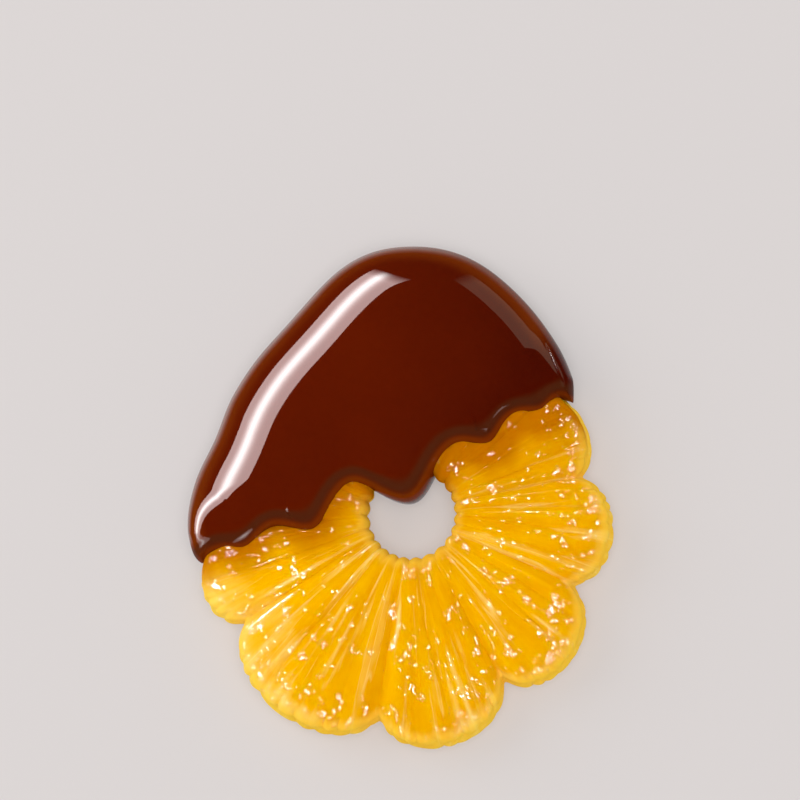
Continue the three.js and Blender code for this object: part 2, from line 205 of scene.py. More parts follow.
# How the ring lies, and where the middle of its hole is.
LIP_BEARING = math.radians(23.4)
LEAN = math.radians(2.4)
RING_HEIGHT = 6.5 * MM
HOLE_PLACE = Vector((2.18 * MM, -3.42 * MM, 0.0))
CUTTER_SHRINK = 0.3 * MM  # the lip's edge lies this deep in the fruit, so that no gap shows

# The photograph: its middle, and the middle of the ring's hole, in pixels from its top left.
PHOTO_MIDDLE = (400.0, 400.0)
PHOTO_HOLE = (412.0, 515.0)
PHOTO_SIZE = 800.0


def clamp(value, low=0.0, high=1.0):
    return max(low, min(high, value))


def lerp(start, end, share):
    return start + (end - start) * share


def smoothstep(value, low, high):
    share = clamp((value - low) / (high - low))
    return share * share * (3.0 - 2.0 * share)


def bell(distance, half_width, power=2.0):
    return math.exp(-(abs(distance / half_width) ** power))


def rounded(distance, radius, power=2.0):
    """The height of a rounded edge, from 0 at the edge to 1 at a radius inside it."""
    short = 1.0 - clamp(distance / radius)
    return (1.0 - short**power) ** (1.0 / power)


def signed_power(value, power):
    return math.copysign(abs(value) ** power, value)


def profile(section):
    """A point of the section's rounded outline: how far out and how far up, from -1 to 1."""
    power = 2.0 / PROFILE_POWER
    return signed_power(math.cos(section), power), signed_power(math.sin(section), power)


def fan_noise(degrees, along, waves, seed):
    """Noise that has about so many waves round the ring and meets itself after a full turn."""
    turn = math.radians(degrees)
    spread = waves / (2.0 * math.pi)
    return noise.noise(Vector((spread * math.cos(turn), spread * math.sin(turn), along + seed)))


class RingShape:
    """The fruit's surface, worked out about the middle of its hole, with Z through it."""

    def __init__(self, sizes):
        # A copy of the settings, because the scene's own are slow to read.
        for name in sizes.__annotations__:
            setattr(self, name, getattr(sizes, name))

    def lobe_at(self, degrees):
        """The lobe at an angle, the angle's place in it, and how far across it that is."""
        first = LOBES[0][0]
        turned = first + (degrees - first) % FULL_TURN
        index = len(LOBES) - 1
        while LOBES[index][0] > turned:
            index -= 1
        start = LOBES[index][0]
        end = LOBES[index + 1][0] if index + 1 < len(LOBES) else first + FULL_TURN
        return index, turned - start, end - start

    def notch_radius(self, index):
        before = LOBES[(index - 1) % len(LOBES)][1]
        after, _, depth = LOBES[index % len(LOBES)][1:]
        return (before + after) / 2.0 - depth * self.notch_share

    def outer_radius(self, degrees):
        """The reach of the outer wall: an arch over each lobe, and a rounded notch between two."""
        index, place, width = self.lobe_at(degrees)
        start, end = self.notch_radius(index), self.notch_radius(index + 1)
        middle = (start + end) / 2.0
        arc = math.radians(min(place, width - place)) * middle
        half = math.radians(width / 2.0) * middle
        climbed = math.hypot(arc, NOTCH_ROUNDING) - NOTCH_ROUNDING
        whole = math.hypot(half, NOTCH_ROUNDING) - NOTCH_ROUNDING
        short = 1.0 - climbed / whole
        arch = math.sqrt(max(0.0, 1.0 - short**2) + NOTCH_SOFTNESS**2) - NOTCH_SOFTNESS
        swell = arch / (math.hypot(1.0, NOTCH_SOFTNESS) - NOTCH_SOFTNESS)
        return lerp(start, end, place / width) + (LOBES[index][1] - middle) * swell

    def hole_edge(self, degrees):
        turn = math.radians(degrees)
        bumps = abs(math.sin(turn * HOLE_BUMPS / 2.0 + 0.5 * math.sin(3.0 * turn)))
        return self.hole_radius + self.bump_depth * (0.5 - bumps)

    def fold_at(self, degrees, share, phase):
        """The place across a fold, in fold widths from the nearest valley, and its strength."""
        index, place, width = self.lobe_at(degrees)
        across = place / width
        folds = LOBES[index][2]
        wave = math.sin(index * 1.9 + phase + 4.0 * share)
        sway = 0.05 * math.sin(math.pi * across) * wave
        valley = folds * (across + sway)
        nearest = round(valley)
        strength = 0.7
        if 0 < nearest < folds:
            strength = 0.6 + 0.4 * math.sin(2.4 * (5 * index + nearest) + phase)
        return valley - nearest, strength

    def crease_at(self, degrees, share):
        """How deep the crease from the nearest notch is here, from 0 to 1."""
        _, place, width = self.lobe_at(degrees)
        reach = lerp(self.hole_radius, self.outer_radius(degrees), share)
        arc = math.radians(min(place, width - place)) * reach
        return share**CREASE_POWER * bell(arc, CREASE_HALF_WIDTH)

    def face_relief(self, degrees, share, phase):
        """How far the fruit's face lies from the flat."""
        from_valley, strength = self.fold_at(degrees, share, phase)
        fold = abs(math.sin(math.pi * from_valley)) ** FOLD_POWER
        deepest = self.fold_depth * (0.3 + 0.7 * smoothstep(share, 0.0, 0.75)) * strength
        _, place, width = self.lobe_at(degrees)
        dome = self.dome * share * abs(2.0 * place / width - 1.0) ** 2.5
        return deepest * (fold - 1.0) - self.crease_depth * self.crease_at(degrees, share) - dome

    @staticmethod
    def bead_at(degrees, beads, row):
        """A row of small beads on a rim, from 0 between two of them to 1 on top of one."""
        uneven = BEAD_DRIFT * fan_noise(degrees, row, BEAD_WAVES, seed=11.0)
        place = degrees / FULL_TURN * beads + uneven
        size = clamp(0.6 + 1.2 * fan_noise(degrees, row, BEAD_WAVES, seed=23.0), 0.15, 1.0)
        return 1.0 - size * (1.0 - abs(math.sin(math.pi * place)) ** 0.8)

    def strand_at(self, degrees, share, phase):
        """The place across the nearest strand, in strand widths, and how strong it is there."""
        index, place, width = self.lobe_at(degrees)
        before = sum(lobe[2] for lobe in LOBES[:index]) * STRANDS_TO_A_FOLD
        wander = 0.5 * fan_noise(degrees, 3.0 * share, 18.0, seed=7.0 * phase)
        across = STRANDS_TO_A_FOLD * LOBES[index][2] * place / width + wander
        nearest = round(across)
        total = sum(lobe[2] for lobe in LOBES) * STRANDS_TO_A_FOLD
        number = 1.37 * ((before + nearest) % total) + 0.4
        shift = 0.3 * noise.noise(Vector((number, 0.3, 5.0 * phase + 0.7)))
        alive = noise.noise(Vector((number, 2.8 * share + 3.1, 5.0 * phase + 9.3)))
        return across - nearest - shift, clamp(0.2 + 2.2 * alive)

    def point(self, degrees, section, grown=0.0, fine=False):
        """A point of the surface, from the angle about the axis and the one round its section."""
        out, up = profile(section)
        share = (1.0 + out) / 2.0
        phase = 0.0 if up > 0.0 else BACK_PHASE
        relief = self.face_relief(degrees, share, phase)
        bead = 0.0
        if fine:
            relief += self.fine_relief(degrees, share, phase)
            front = self.bead_at(degrees, FRONT_BEADS, 0.0) - 1.0
            back = self.bead_at(degrees, BACK_BEADS, 6.4) - 1.0
            bead = self.bead_depth * lerp(back, front, smoothstep(up, 0.0, 0.35))
            bead *= smoothstep(out, 0.78, 0.93)
            relief += 0.8 * bead
        height = up * (self.thickness / 2.0 + relief * abs(up) + grown)
        groove = bell(height - WAIST_HEIGHT, WAIST_HALF_WIDTH)
        wall = smoothstep(out, 0.5, 1.0) * self.waist_depth * groove
        inner = self.hole_edge(degrees) - grown
        outer = self.outer_radius(degrees) - self.front_taper * (1.0 + up) / 2.0 + grown + bead
        if fine:
            outer -= TRIM
        radius = lerp(inner, outer, share) - wall
        turn = math.radians(degrees)
        return Vector((radius * math.cos(turn), radius * math.sin(turn), height))

    def fine_relief(self, degrees, share, phase):
        """The narrower folds, the fibres and the unevenness that the solid leaves out."""
        seed = 7.0 * phase
        from_strand, alive = self.strand_at(degrees, share, phase)
        strand = alive * bell(from_strand, 0.28) * smoothstep(share, 0.02, 0.3)
        fibres = fan_noise(degrees, 2.0 * share, 150.0, seed=seed + 13.0)
        threads = fan_noise(degrees, 3.5 * share, 330.0, seed=seed + 19.0)
        lumps = fan_noise(degrees, 5.0 * share, 26.0, seed=seed + 29.0)
        grow = 0.4 + 0.6 * share
        return (
            self.strand_height * strand
            + self.fibre_depth * grow * (fibres + 0.45 * threads)
            + self.lump_depth * grow * lumps
            + 0.9 * self.lump_depth * self.pustules(degrees, share, seed)
        )

    def pustules(self, degrees, share, seed):
        """Small domes that crowd the outer ends of the lobes, from 0 to 1."""
        crowd = smoothstep(share, 0.68, 0.9)
        patch = fan_noise(degrees, 3.0 * share, 30.0, seed=seed + 37.0)
        crowd *= smoothstep(patch, -0.1, 0.35)
        if crowd <= 0.0:
            return 0.0
        turn = math.radians(degrees)
        reach = lerp(self.hole_radius, self.outer_radius(degrees), share) / PUSTULE_PITCH
        place = Vector((reach * math.cos(turn), reach * math.sin(turn), seed))
        nearest = noise.voronoi(place)[0][0]
        return crowd * max(0.0, 1.0 - (nearest / PUSTULE_RADIUS) ** 2)

    def milkiness_and_light(self, degrees, section):
        """How pale and cloudy the flesh is, from 0 to 1. Part of it is painted light: the rims grow
        paler towards the left, and the left lobe ends are painted pale as if lit from the left.
        """
        out, up = profile(section)
        share = (1.0 + out) / 2.0
        phase = 0.0 if up > 0.0 else BACK_PHASE
        from_strand, alive = self.strand_at(degrees, share, phase)
        cloud = clamp(0.45 + 1.4 * fan_noise(degrees, 2.5 * share, 25.0, seed=43.0))
        line = cloud * alive * bell(from_strand, 0.32)
        rows = bell(up - 0.8, 0.3) + 0.5 * bell(up + 0.4, 0.4)
        # Painted light: the rims are painted paler towards the left, and the left lobe ends paler,
        # as if lit from the left.
        leftness = 0.5 - 0.5 * math.cos(math.radians(degrees))
        rim = (0.2 + 0.4 * cloud) * smoothstep(out, 0.76, 0.94) * rows
        rim *= lerp(0.3, 1.0, leftness)
        lit_left_end = bell(degrees % FULL_TURN - PALE_END, PALE_SPREAD)
        lit_left_end *= smoothstep(out, 0.1, 0.9) * (0.4 + 0.6 * cloud)
        return clamp(0.45 * line + rim + 0.9 * lit_left_end)


class CoatShape:
    """The chocolate's outside, worked out about the middle of the hole."""

    def __init__(self, sizes, ring):
        self.ring = ring
        self.crest_rise = sizes.crest_rise
        self.cover = sizes.cover
        self.lip_height = sizes.lip_height
        self.trough_depth = sizes.trough_depth
        self.left_tip = self.edge_point(0.0)
        self.right_tip = self.edge_point(1.0)
        self.lip_length = (self.right_tip - self.left_tip).length
        self.lip_way = (self.right_tip - self.left_tip).normalized()
        self.up_the_coat = Vector((-self.lip_way.y, self.lip_way.x, 0.0))
        self.edge_line = self.sampled(self.edge_point)

    @staticmethod
    def sampled(curve):
        """Points along a curve, and the tree that finds the nearest of them."""
        points = [curve(i / LINE_SAMPLES) for i in range(LINE_SAMPLES + 1)]
        tree = kdtree.KDTree(len(points))
        for i, point in enumerate(points):
            tree.insert(point, i)
        tree.balance()
        return points, tree

    @staticmethod
    def distance(line, point):
        """The distance in plan from a point to a sampled line."""
        points, tree = line
        flat = Vector((point.x, point.y, 0.0))
        _, index, nearest = tree.find(flat)
        for i in (index - 1, index):
            if 0 <= i < len(points) - 1:
                way = points[i + 1] - points[i]
                share = clamp((flat - points[i]).dot(way) / way.length_squared)
                nearest = min(nearest, (points[i] + way * share - flat).length)
        return nearest

    def base_reach(self, degrees):
        """A smooth line through the named reaches."""
        last = len(COAT_REACH) - 1
        index = 0
        while index < last - 1 and COAT_REACH[index + 1][0] > degrees:
            index += 1
        (high, p1), (low, p2) = COAT_REACH[index], COAT_REACH[index + 1]
        p0 = COAT_REACH[max(index - 1, 0)][1]
        p3 = COAT_REACH[min(index + 2, last)][1]
        t = (high - degrees) / (high - low)
        v0, v1 = (p2 - p0) / 2.0, (p3 - p1) / 2.0
        return (
            (2.0 * p1 - 2.0 * p2 + v0 + v1) * t**3
            + (-3.0 * p1 + 3.0 * p2 - 2.0 * v0 - v1) * t**2
            + v0 * t
            + p1
        )

    def edge_point(self, along):
        """The coat's widest outline, from its left tip at 0 over the crest to its right tip."""
        degrees = lerp(COAT_REACH[0][0], COAT_REACH[-1][0], along)
        spread = CREST_SPREAD_LEFT if degrees > CREST_ANGLE else CREST_SPREAD_RIGHT
        crest = self.crest_rise * bell(degrees - CREST_ANGLE, spread, CREST_POWER)
        from_tip = min(along, 1.0 - along) * EDGE_LENGTH
        inset = TIP_INSETS[0 if along < 0.5 else 1] * (1.0 - rounded(from_tip, TIP_LENGTH))
        radius = self.base_reach(degrees) + crest - inset - TRIM
        turn = math.radians(degrees)
        return Vector((radius * math.cos(turn), radius * math.sin(turn), 0.0))

    def lip_rise(self, place, widened=0.0):
        """How far the lip lies up the coat from the line between its tips, at a place along it.
        Widened, its runs are broader and shallower."""
        rise = LIP_RISE
        for at, reach, half in RUNS:
            wide = math.hypot(half, widened)
            rise -= reach * half / wide * bell(place - at, wide)
        along = clamp(place / self.lip_length)
        return rise * (1.0 - abs(2.0 * along - 1.0) ** LIP_FADES[0 if along < 0.5 else 1])

    def lip_point(self, along):
        """The coat's lower edge on the fruit's face, from the left tip to the right one."""
        place = along * self.lip_length
        return self.left_tip + self.lip_way * place + self.up_the_coat * self.lip_rise(place)

    def from_lip(self, point):
        """How far up the coat from its lip a point lies, in plan. It is the distance near the
        lip, and further in the runs fade away, so that the coat's face has no sharp lines."""
        place = (point - self.left_tip).dot(self.lip_way)
        up = (point - self.left_tip).dot(self.up_the_coat)
        widened = RUN_FADE * max(0.0, up - self.lip_rise(place))
        step = 0.1 * MM
        slope = self.lip_rise(place + step, widened) - self.lip_rise(place - step, widened)
        return (up - self.lip_rise(place, widened)) / math.hypot(1.0, slope / (2.0 * step))

    def face_level(self, place):
        """The height of the fruit's nominal face, which leans."""
        across = place.y * math.cos(LIP_BEARING) - place.x * math.sin(LIP_BEARING)
        return RING_HEIGHT + self.ring.thickness / 2.0 + across * math.tan(LEAN)

    def face_drop(self, place):
        """How far the fruit, without its folds, lies below its nominal face, at most to its
        middle plane: round its outer wall and its creases, and round the hole."""
        degrees = math.degrees(math.atan2(place.y, place.x))
        inner = self.ring.hole_edge(degrees)
        reach = math.hypot(place.x, place.y)
        outer = self.ring.outer_radius(degrees) - self.ring.front_taper
        share = clamp((reach - inner) / (outer - inner))
        section = (1.0 - abs(2.0 * share - 1.0) ** PROFILE_POWER) ** (1.0 / PROFILE_POWER)
        _, turned, width = self.ring.lobe_at(degrees)
        arc = math.radians(min(turned, width - turned)) * reach
        crease = self.ring.crease_depth * share**CREASE_POWER * bell(arc, 2.0 * CREASE_HALF_WIDTH)
        half = self.ring.thickness / 2.0
        drop = half - section * (half - crease * section)
        return (drop, 0.0) if share > 0.5 else (0.0, drop)

    def place(self, along, turn):
        """A place in plan: along the coat from tip to tip, and round its section.

        The section runs from the lip over the face to the edge at one half, and back beneath.
        """
        lip, edge = self.lip_point(along), self.edge_point(along)
        across = (1.0 - math.cos(2.0 * math.pi * turn)) / 2.0
        if turn >= 0.5 and across > 0.0:
            room = clamp((lip - edge).length / TIP_SHOULDER[0])
            lip = lip + self.up_the_coat * (BACK_RETREAT * room * clamp(across * 40.0))
        return lip.lerp(edge, across)

    def back_height(self, from_lip, from_edge):
        drop = rounded(from_edge, FOOT_RADIUS) * rounded(from_lip, DRIP_RADIUS)
        return lerp(WIDEST_HEIGHT, -FOOT_CUT, drop)

    def face_height(self, place, along, from_lip, from_edge):
        """The height of the coat's face: a bead on its lip, a hollow behind that, and a broad
        pillow that falls away to its outer edge."""
        over_hole = 1.0 - smoothstep(place.length, self.ring.hole_radius - 1.0 * MM,
                                     self.ring.hole_radius + 1.5 * MM)
        cover = smoothstep(from_lip, COVER_FROM, COVER_TO)
        outer_drop, hole_drop = self.face_drop(place)
        level = self.face_level(place)
        trough = bell(from_lip - TROUGH_PLACE, TROUGH_HALF_WIDTH)
        top = level - min(outer_drop, RIM_SINK) * (1.0 - cover) - self.trough_depth * trough
        top += lerp(self.lip_height, self.cover, cover) - TRIM
        foot = lerp(level - outer_drop - hole_drop - LIP_SINK, level - DRIP_DEPTH, over_hole)
        foot = max(foot, WIDEST_HEIGHT)
        height = lerp(foot, top, rounded(from_lip, lerp(LIP_RADIUS, DRIP_RADIUS, over_hole)))
        broad = smoothstep(min(along, 1.0 - along), 0.0, SHOULDER_BLEND)
        shoulder = rounded(from_edge, lerp(TIP_SHOULDER[0], BROAD_SHOULDER[0], broad),
                           lerp(TIP_SHOULDER[1], BROAD_SHOULDER[1], broad))
        return lerp(WIDEST_HEIGHT, height, shoulder)


def ring_matrix():
    """Where the ring lies among the shapes worked out about its hole."""
    axis = Vector((math.cos(LIP_BEARING), math.sin(LIP_BEARING), 0.0))
    return Matrix.Translation((0.0, 0.0, RING_HEIGHT)) @ Matrix.Rotation(LEAN, 4, axis)


def even_section(steps):
    """Angles round the section that space its points by what is to be seen there."""
    lengths = [0.0]
    last = None
    for i in range(SECTION_SAMPLES + 1):
        out, up = profile(2.0 * math.pi * i / SECTION_SAMPLES)
        here = Vector((SECTION_HALF_SIZE[0] * out, SECTION_HALF_SIZE[1] * up))
        if last is not None:
            weight = (1.35 if up > 0.0 else 0.65) * (1.0 + 0.9 * smoothstep(out, 0.7, 0.95))
            lengths.append(lengths[-1] + (here - last).length * weight)
        last = here
    angles = []
    index = 0
    for step in range(steps):
        target = lengths[-1] * step / steps
        while lengths[index + 1] < target:
            index += 1
        share = (target - lengths[index]) / max(lengths[index + 1] - lengths[index], 1e-12)
        angles.append(2.0 * math.pi * (index + share) / SECTION_SAMPLES)
    return angles


def ring_angles(open_steps, covered_steps):
    """Angles round the ring, in degrees: each lobe is cut evenly, so that one falls on every
    notch, and the lobes under the coat more coarsely."""
    angles = []
    for index, lobe in enumerate(LOBES):
        end = LOBES[index + 1][0] if index + 1 < len(LOBES) else LOBES[0][0] + FULL_TURN
        steps = covered_steps if index in COVERED_LOBES else open_steps
        count = round((end - lobe[0]) * steps)
        angles += [lerp(lobe[0], end, i / count) for i in range(count)]
    return angles


def spun_ring(steps_round, section_steps):
    """A plain ring, and for each of its vertices the step round it and round its section."""
    bm = bmesh.new()
    to_side = Matrix.Translation((1.0, 0.0, 0.0)) @ Matrix.Rotation(math.pi / 2.0, 4, "X")
    bmesh.ops.create_circle(bm, segments=section_steps, radius=0.5, matrix=to_side)
    bmesh.ops.spin(bm, geom=bm.verts[:] + bm.edges[:], cent=(0.0, 0.0, 0.0), axis=(0.0, 0.0, 1.0),
                   angle=2.0 * math.pi, steps=steps_round, use_merge=True)
    bmesh.ops.remove_doubles(bm, verts=bm.verts[:], dist=1e-5)
    places = []
    for vert in bm.verts:
        turn = math.atan2(vert.co.y, vert.co.x) % (2.0 * math.pi)
        section = math.atan2(vert.co.z, math.hypot(vert.co.x, vert.co.y) - 1.0) % (2.0 * math.pi)
        places.append((
            round(turn / (2.0 * math.pi) * steps_round) % steps_round,
            round(section / (2.0 * math.pi) * section_steps) % section_steps,
        ))
    return bm, places


def finished(bm, name):
    """Turns a bmesh into an object whose faces point out, with smooth shading and crisp edges."""
    bmesh.ops.recalc_face_normals(bm, faces=bm.faces[:])
    for face in bm.faces:
        face.smooth = True
    for edge in bm.edges:
        edge.smooth = len(edge.link_faces) == 2 and edge.calc_face_angle() < SHARP_ANGLE
    mesh = bpy.data.meshes.new(name)
    bm.to_mesh(mesh)
    bm.free()
    piece = bpy.data.objects.new(name, mesh)
    bpy.context.scene.collection.objects.link(piece)
    return piece


def make_fruit_mesh(shape, coat):
    """The fruit in full detail. Attributes keep its ridges, its cloudy flesh, partly painted light,
    its walls, its glossy strands, where it has blisters, and where shade is painted: beside the
    chocolate and on the right."""
    angles = ring_angles(OPEN_STEPS, COVERED_STEPS)
    sections = even_section(SECTION_STEPS)
    bm, places = spun_ring(len(angles), SECTION_STEPS)
    ridge_layer = bm.verts.layers.float.new("ridge")
    milky_and_lit_layer = bm.verts.layers.float.new("milky")
    blister_layer = bm.verts.layers.float.new("blisters")
    painted_shade_layer = bm.verts.layers.float.new("stain")
    wall_layer = bm.verts.layers.float.new("wall")
    strand_layer = bm.verts.layers.float.new("strand")
    lay = ring_matrix()
    for vert, (turn, step) in zip(bm.verts, places):
        degrees, section = angles[turn], sections[step]
        out, up = profile(section)
        share = (1.0 + out) / 2.0
        phase = 0.0 if up > 0.0 else BACK_PHASE
        from_valley, strength = shape.fold_at(degrees, share, phase)
        from_strand, alive = shape.strand_at(degrees, share, phase)
        place = lay @ shape.point(degrees, section, fine=True)
        vert[ridge_layer] = lerp(1.0, abs(math.sin(math.pi * from_valley)), strength)
        # Cloudy flesh, with painted light on the rims and the left lobe ends.
        vert[milky_and_lit_layer] = shape.milkiness_and_light(degrees, section)
        glossy_side = bell(degrees - GLOSSY_STRANDS[0], GLOSSY_STRANDS[1], 4.0)
        vert[strand_layer] = alive * bell(from_strand, 0.22) * glossy_side
        vert[blister_layer] = clamp(
            0.15 + 0.6 * alive * bell(from_strand, 0.3) + 0.6 * smoothstep(out, 0.45, 0.85)
        )
        vert[wall_layer] = smoothstep(abs(out), 0.84, 0.95)
        # Painted shade: the fruit is painted darker beside the chocolate's lip, where its shade
        # falls, and a little darker on the right.
        if up > 0.0:
            from_lip = abs(coat.from_lip(place))
            shade = RIGHT_SHADE * smoothstep(place.x, *RIGHT_FROM_TO)
            vert[painted_shade_layer] = clamp(
                1.0 - smoothstep(from_lip, 0.0, LIP_SHADE_REACH)
                + shade * (1.0 - smoothstep(from_lip, 0.0, SHADE_REACH))
            )
        vert.co = HOLE_PLACE + place
        vert.co.z = max(vert.co.z, 0.0)
    return finished(bm, FRUIT)


def make_cutter(shape):
    """The fruit without its fine relief and a little smaller, to hollow the coat."""
    angles = ring_angles(CUTTER_STEPS, CUTTER_STEPS)
    sections = even_section(CUTTER_SECTION_STEPS)
    bm, places = spun_ring(len(angles), CUTTER_SECTION_STEPS)
    matrix = Matrix.Translation(HOLE_PLACE) @ ring_matrix()
    for vert, (turn, step) in zip(bm.verts, places):
        vert.co = matrix @ shape.point(angles[turn], sections[step], grown=-CUTTER_SHRINK)
    return finished(bm, "fruit_cutter")


def smoothed_distances(bm, verts, line, shape):
    """The distance in plan of each vertex from a line, without the sharp ridges that such
    distances have: they are written as heights, and the heights are smoothed."""
    far = []
    for vert in verts:
        vert.co.z = shape.distance(line, vert.co)
        if vert.co.z > SMOOTH_FROM:
            far.append(vert)
    for _ in range(SMOOTH_ROUNDS):
        bmesh.ops.smooth_vert(bm, verts=far, factor=0.5, use_axis_z=True)
    return [vert.co.z for vert in verts]


def make_coat_mesh(shape, cutter):
    """The chocolate: a ball bent into the coat's outside, and hollowed by the fruit. Attributes
    keep its thin edges, partly painted light, its lip, and the band on the lip where a reflection
    is painted."""
    bm = bmesh.new()
    bmesh.ops.create_uvsphere(bm, u_segments=COAT_STEPS_ROUND, v_segments=COAT_STEPS_ALONG,
                              radius=1.0)
    thin_and_lit_layer = bm.verts.layers.float.new("thin")
    lip_layer = bm.verts.layers.float.new("lip")
    painted_reflection_layer = bm.verts.layers.float.new("band")
    face, back, shares = [], [], []
    for vert in bm.verts:
        along = math.acos(clamp(vert.co.z, -1.0, 1.0)) / math.pi
        turn = math.atan2(vert.co.y, vert.co.x) / (2.0 * math.pi) % 1.0
        vert.co = shape.place(along, turn)
        if turn < 0.5:
            face.append(vert)
            shares.append(along)
        else:
            back.append(vert)
    for vert in back:
        from_lip = max(0.0, shape.from_lip(vert.co))
        vert.co.z = shape.back_height(from_lip, shape.distance(shape.edge_line, vert.co))
    from_edge = smoothed_distances(bm, face, shape.edge_line, shape)
    for vert, along, edge in zip(face, shares, from_edge):
        place = vert.co * FLAT
        lip = max(0.0, shape.from_lip(place))
        # The thin edges are painted warmer and brighter, partly as painted light. At the outer edge
        # this is done only on the left, where light falls.
        on_left = smoothstep(place.y - place.x, 0.0, LEFT_BLEND)
        vert[thin_and_lit_layer] = max(1.0 - smoothstep(lip, *LIP_THINS),
                               on_left * (1.0 - smoothstep(edge, *EDGE_THINS)))
        vert[lip_layer] = 1.0 - smoothstep(lip, *LIP_DULLS)
        # Painted reflection: a lighter band along the lip stands for the bead's reflection of the
        # bright surroundings.
        vert[painted_reflection_layer] = bell(lip - LIP_REFLECTION_BAND[0], LIP_REFLECTION_BAND[1], 3.0)
        vert.co.z = shape.face_height(place, along, lip, edge)
    for vert in bm.verts:
        vert.co += HOLE_PLACE
        vert.co.z = max(vert.co.z, 0.0)
    coat = finished(bm, "chocolate_outside")
    hollow = coat.modifiers.new("hollow", "BOOLEAN")
    hollow.operation = "DIFFERENCE"
    hollow.solver = "MANIFOLD"
    hollow.object = cutter
    depsgraph = bpy.context.evaluated_depsgraph_get()
    cut = bmesh.new()
    cut.from_mesh(coat.evaluated_get(depsgraph).to_mesh())
    bpy.data.objects.remove(coat)
    keep_largest(cut)
    return finished(cut, CHOCOLATE)


def keep_largest(bm):
    """Drops the loose scraps that a cut leaves."""
    unseen = set(bm.verts)
    islands = []
    while unseen:
        island = set()
        search = [unseen.pop()]
        while search:
            vert = search.pop()
            island.add(vert)
            for edge in vert.link_edges:
                other = edge.other_vert(vert)
                if other in unseen:
                    unseen.remove(other)
                    search.append(other)
        islands.append(island)
    islands.sort(key=len, reverse=True)
    loose = [vert for island in islands[1:] for vert in island]
    bmesh.ops.delete(bm, geom=loose, context="VERTS")


class Nodes:
    """A node tree, with short ways to add and join its nodes."""

    def __init__(self, tree):
        self.tree = tree

    def add(self, kind, values=None, **settings):
        node = self.tree.nodes.new(kind)
        for name, value in settings.items():
            setattr(node, name, value)
        for name, value in (values or {}).items():
            self.feed(node.inputs[name], value)
        return node

    def feed(self, socket, value):
        """Gives a socket a link or a value. A colour may come without its alpha."""
        if isinstance(value, bpy.types.NodeSocket):
            self.tree.links.new(value, socket)
        elif socket.type == "RGBA" and len(value) == 3:
            socket.default_value = (*value, 1.0)
        else:
            socket.default_value = value

    def math(self, operation, first, second=None, third=None):
        node = self.add("ShaderNodeMath", operation=operation)
        for socket, value in zip(node.inputs, (first, second, third)):
            if value is not None:
                self.feed(socket, value)
        return node.outputs[0]

    def times(self, first, second):
        return self.math("MULTIPLY", first, second)

    def attribute(self, name):
        return self.add("ShaderNodeAttribute", attribute_name=name).outputs["Fac"]

    def part(self, vector, name):
        """One of a vector's three parts."""
        return self.add("ShaderNodeSeparateXYZ", {"Vector": vector}).outputs[name]

    def vector_math(self, operation, first, second=None, scale=None):
        node = self.add("ShaderNodeVectorMath", operation=operation)
        self.feed(node.inputs[0], first)
        if second is not None:
            self.feed(node.inputs[1], second)
        if scale is not None:
            self.feed(node.inputs["Scale"], scale)
        return node.outputs["Value" if operation in ("LENGTH", "DOT_PRODUCT") else "Vector"]

    def ramp(self, value, low, high):
        """The value's place between two limits, from 0 to 1."""
        node = self.add("ShaderNodeMapRange", {"Value": value, "From Min": low, "From Max": high})
        return node.outputs["Result"]

    def mix(self, share, first, second):
        node = self.add("ShaderNodeMix", data_type="RGBA")
        self.feed(node.inputs[0], share)
        self.feed(node.inputs[6], first)
        self.feed(node.inputs[7], second)
        return node.outputs[2]

    def bump(self, height, strength, distance, normal=None):
        values = {"Height": height, "Strength": strength, "Distance": distance}
        if normal is not None:
            values["Normal"] = normal
        return self.add("ShaderNodeBump", values).outputs["Normal"]


def group(name, inputs, outputs):
    """An empty shader node group with named sockets, with its two end nodes."""
    tree = bpy.data.node_groups.new(name, "ShaderNodeTree")
    for socket, kind, default in inputs:
        made = tree.interface.new_socket(socket, in_out="INPUT", socket_type=kind)
        if default is not None:
            made.default_value = default
    for socket, kind in outputs:
        tree.interface.new_socket(socket, in_out="OUTPUT", socket_type=kind)
    nodes = Nodes(tree)
    return nodes, nodes.add("NodeGroupInput").outputs, nodes.add("NodeGroupOutput").inputs


def mottle_group():
    """Soft uneven patches: a mask that wanders between 0 and 1 over the surface."""
    found = bpy.data.node_groups.get("Mottle")
    if found:
        return found
    nodes, given, out = group(
        "Mottle",
        [("Vector", "NodeSocketVector", None), ("Scale", "NodeSocketFloat", 100.0),
         ("Contrast", "NodeSocketFloat", 1.0)],
        [("Mask", "NodeSocketFloat")],
    )
    cloud = nodes.add("ShaderNodeTexNoise",
                      {"Vector": given["Vector"], "Scale": given["Scale"], "Detail": 3.0})
    centred = nodes.math("SUBTRACT", cloud.outputs["Fac"], 0.5)
    spread = nodes.math("MULTIPLY_ADD", centred, given["Contrast"], 0.5)
    nodes.feed(out["Mask"], nodes.ramp(spread, 0.0, 1.0))
    return nodes.tree


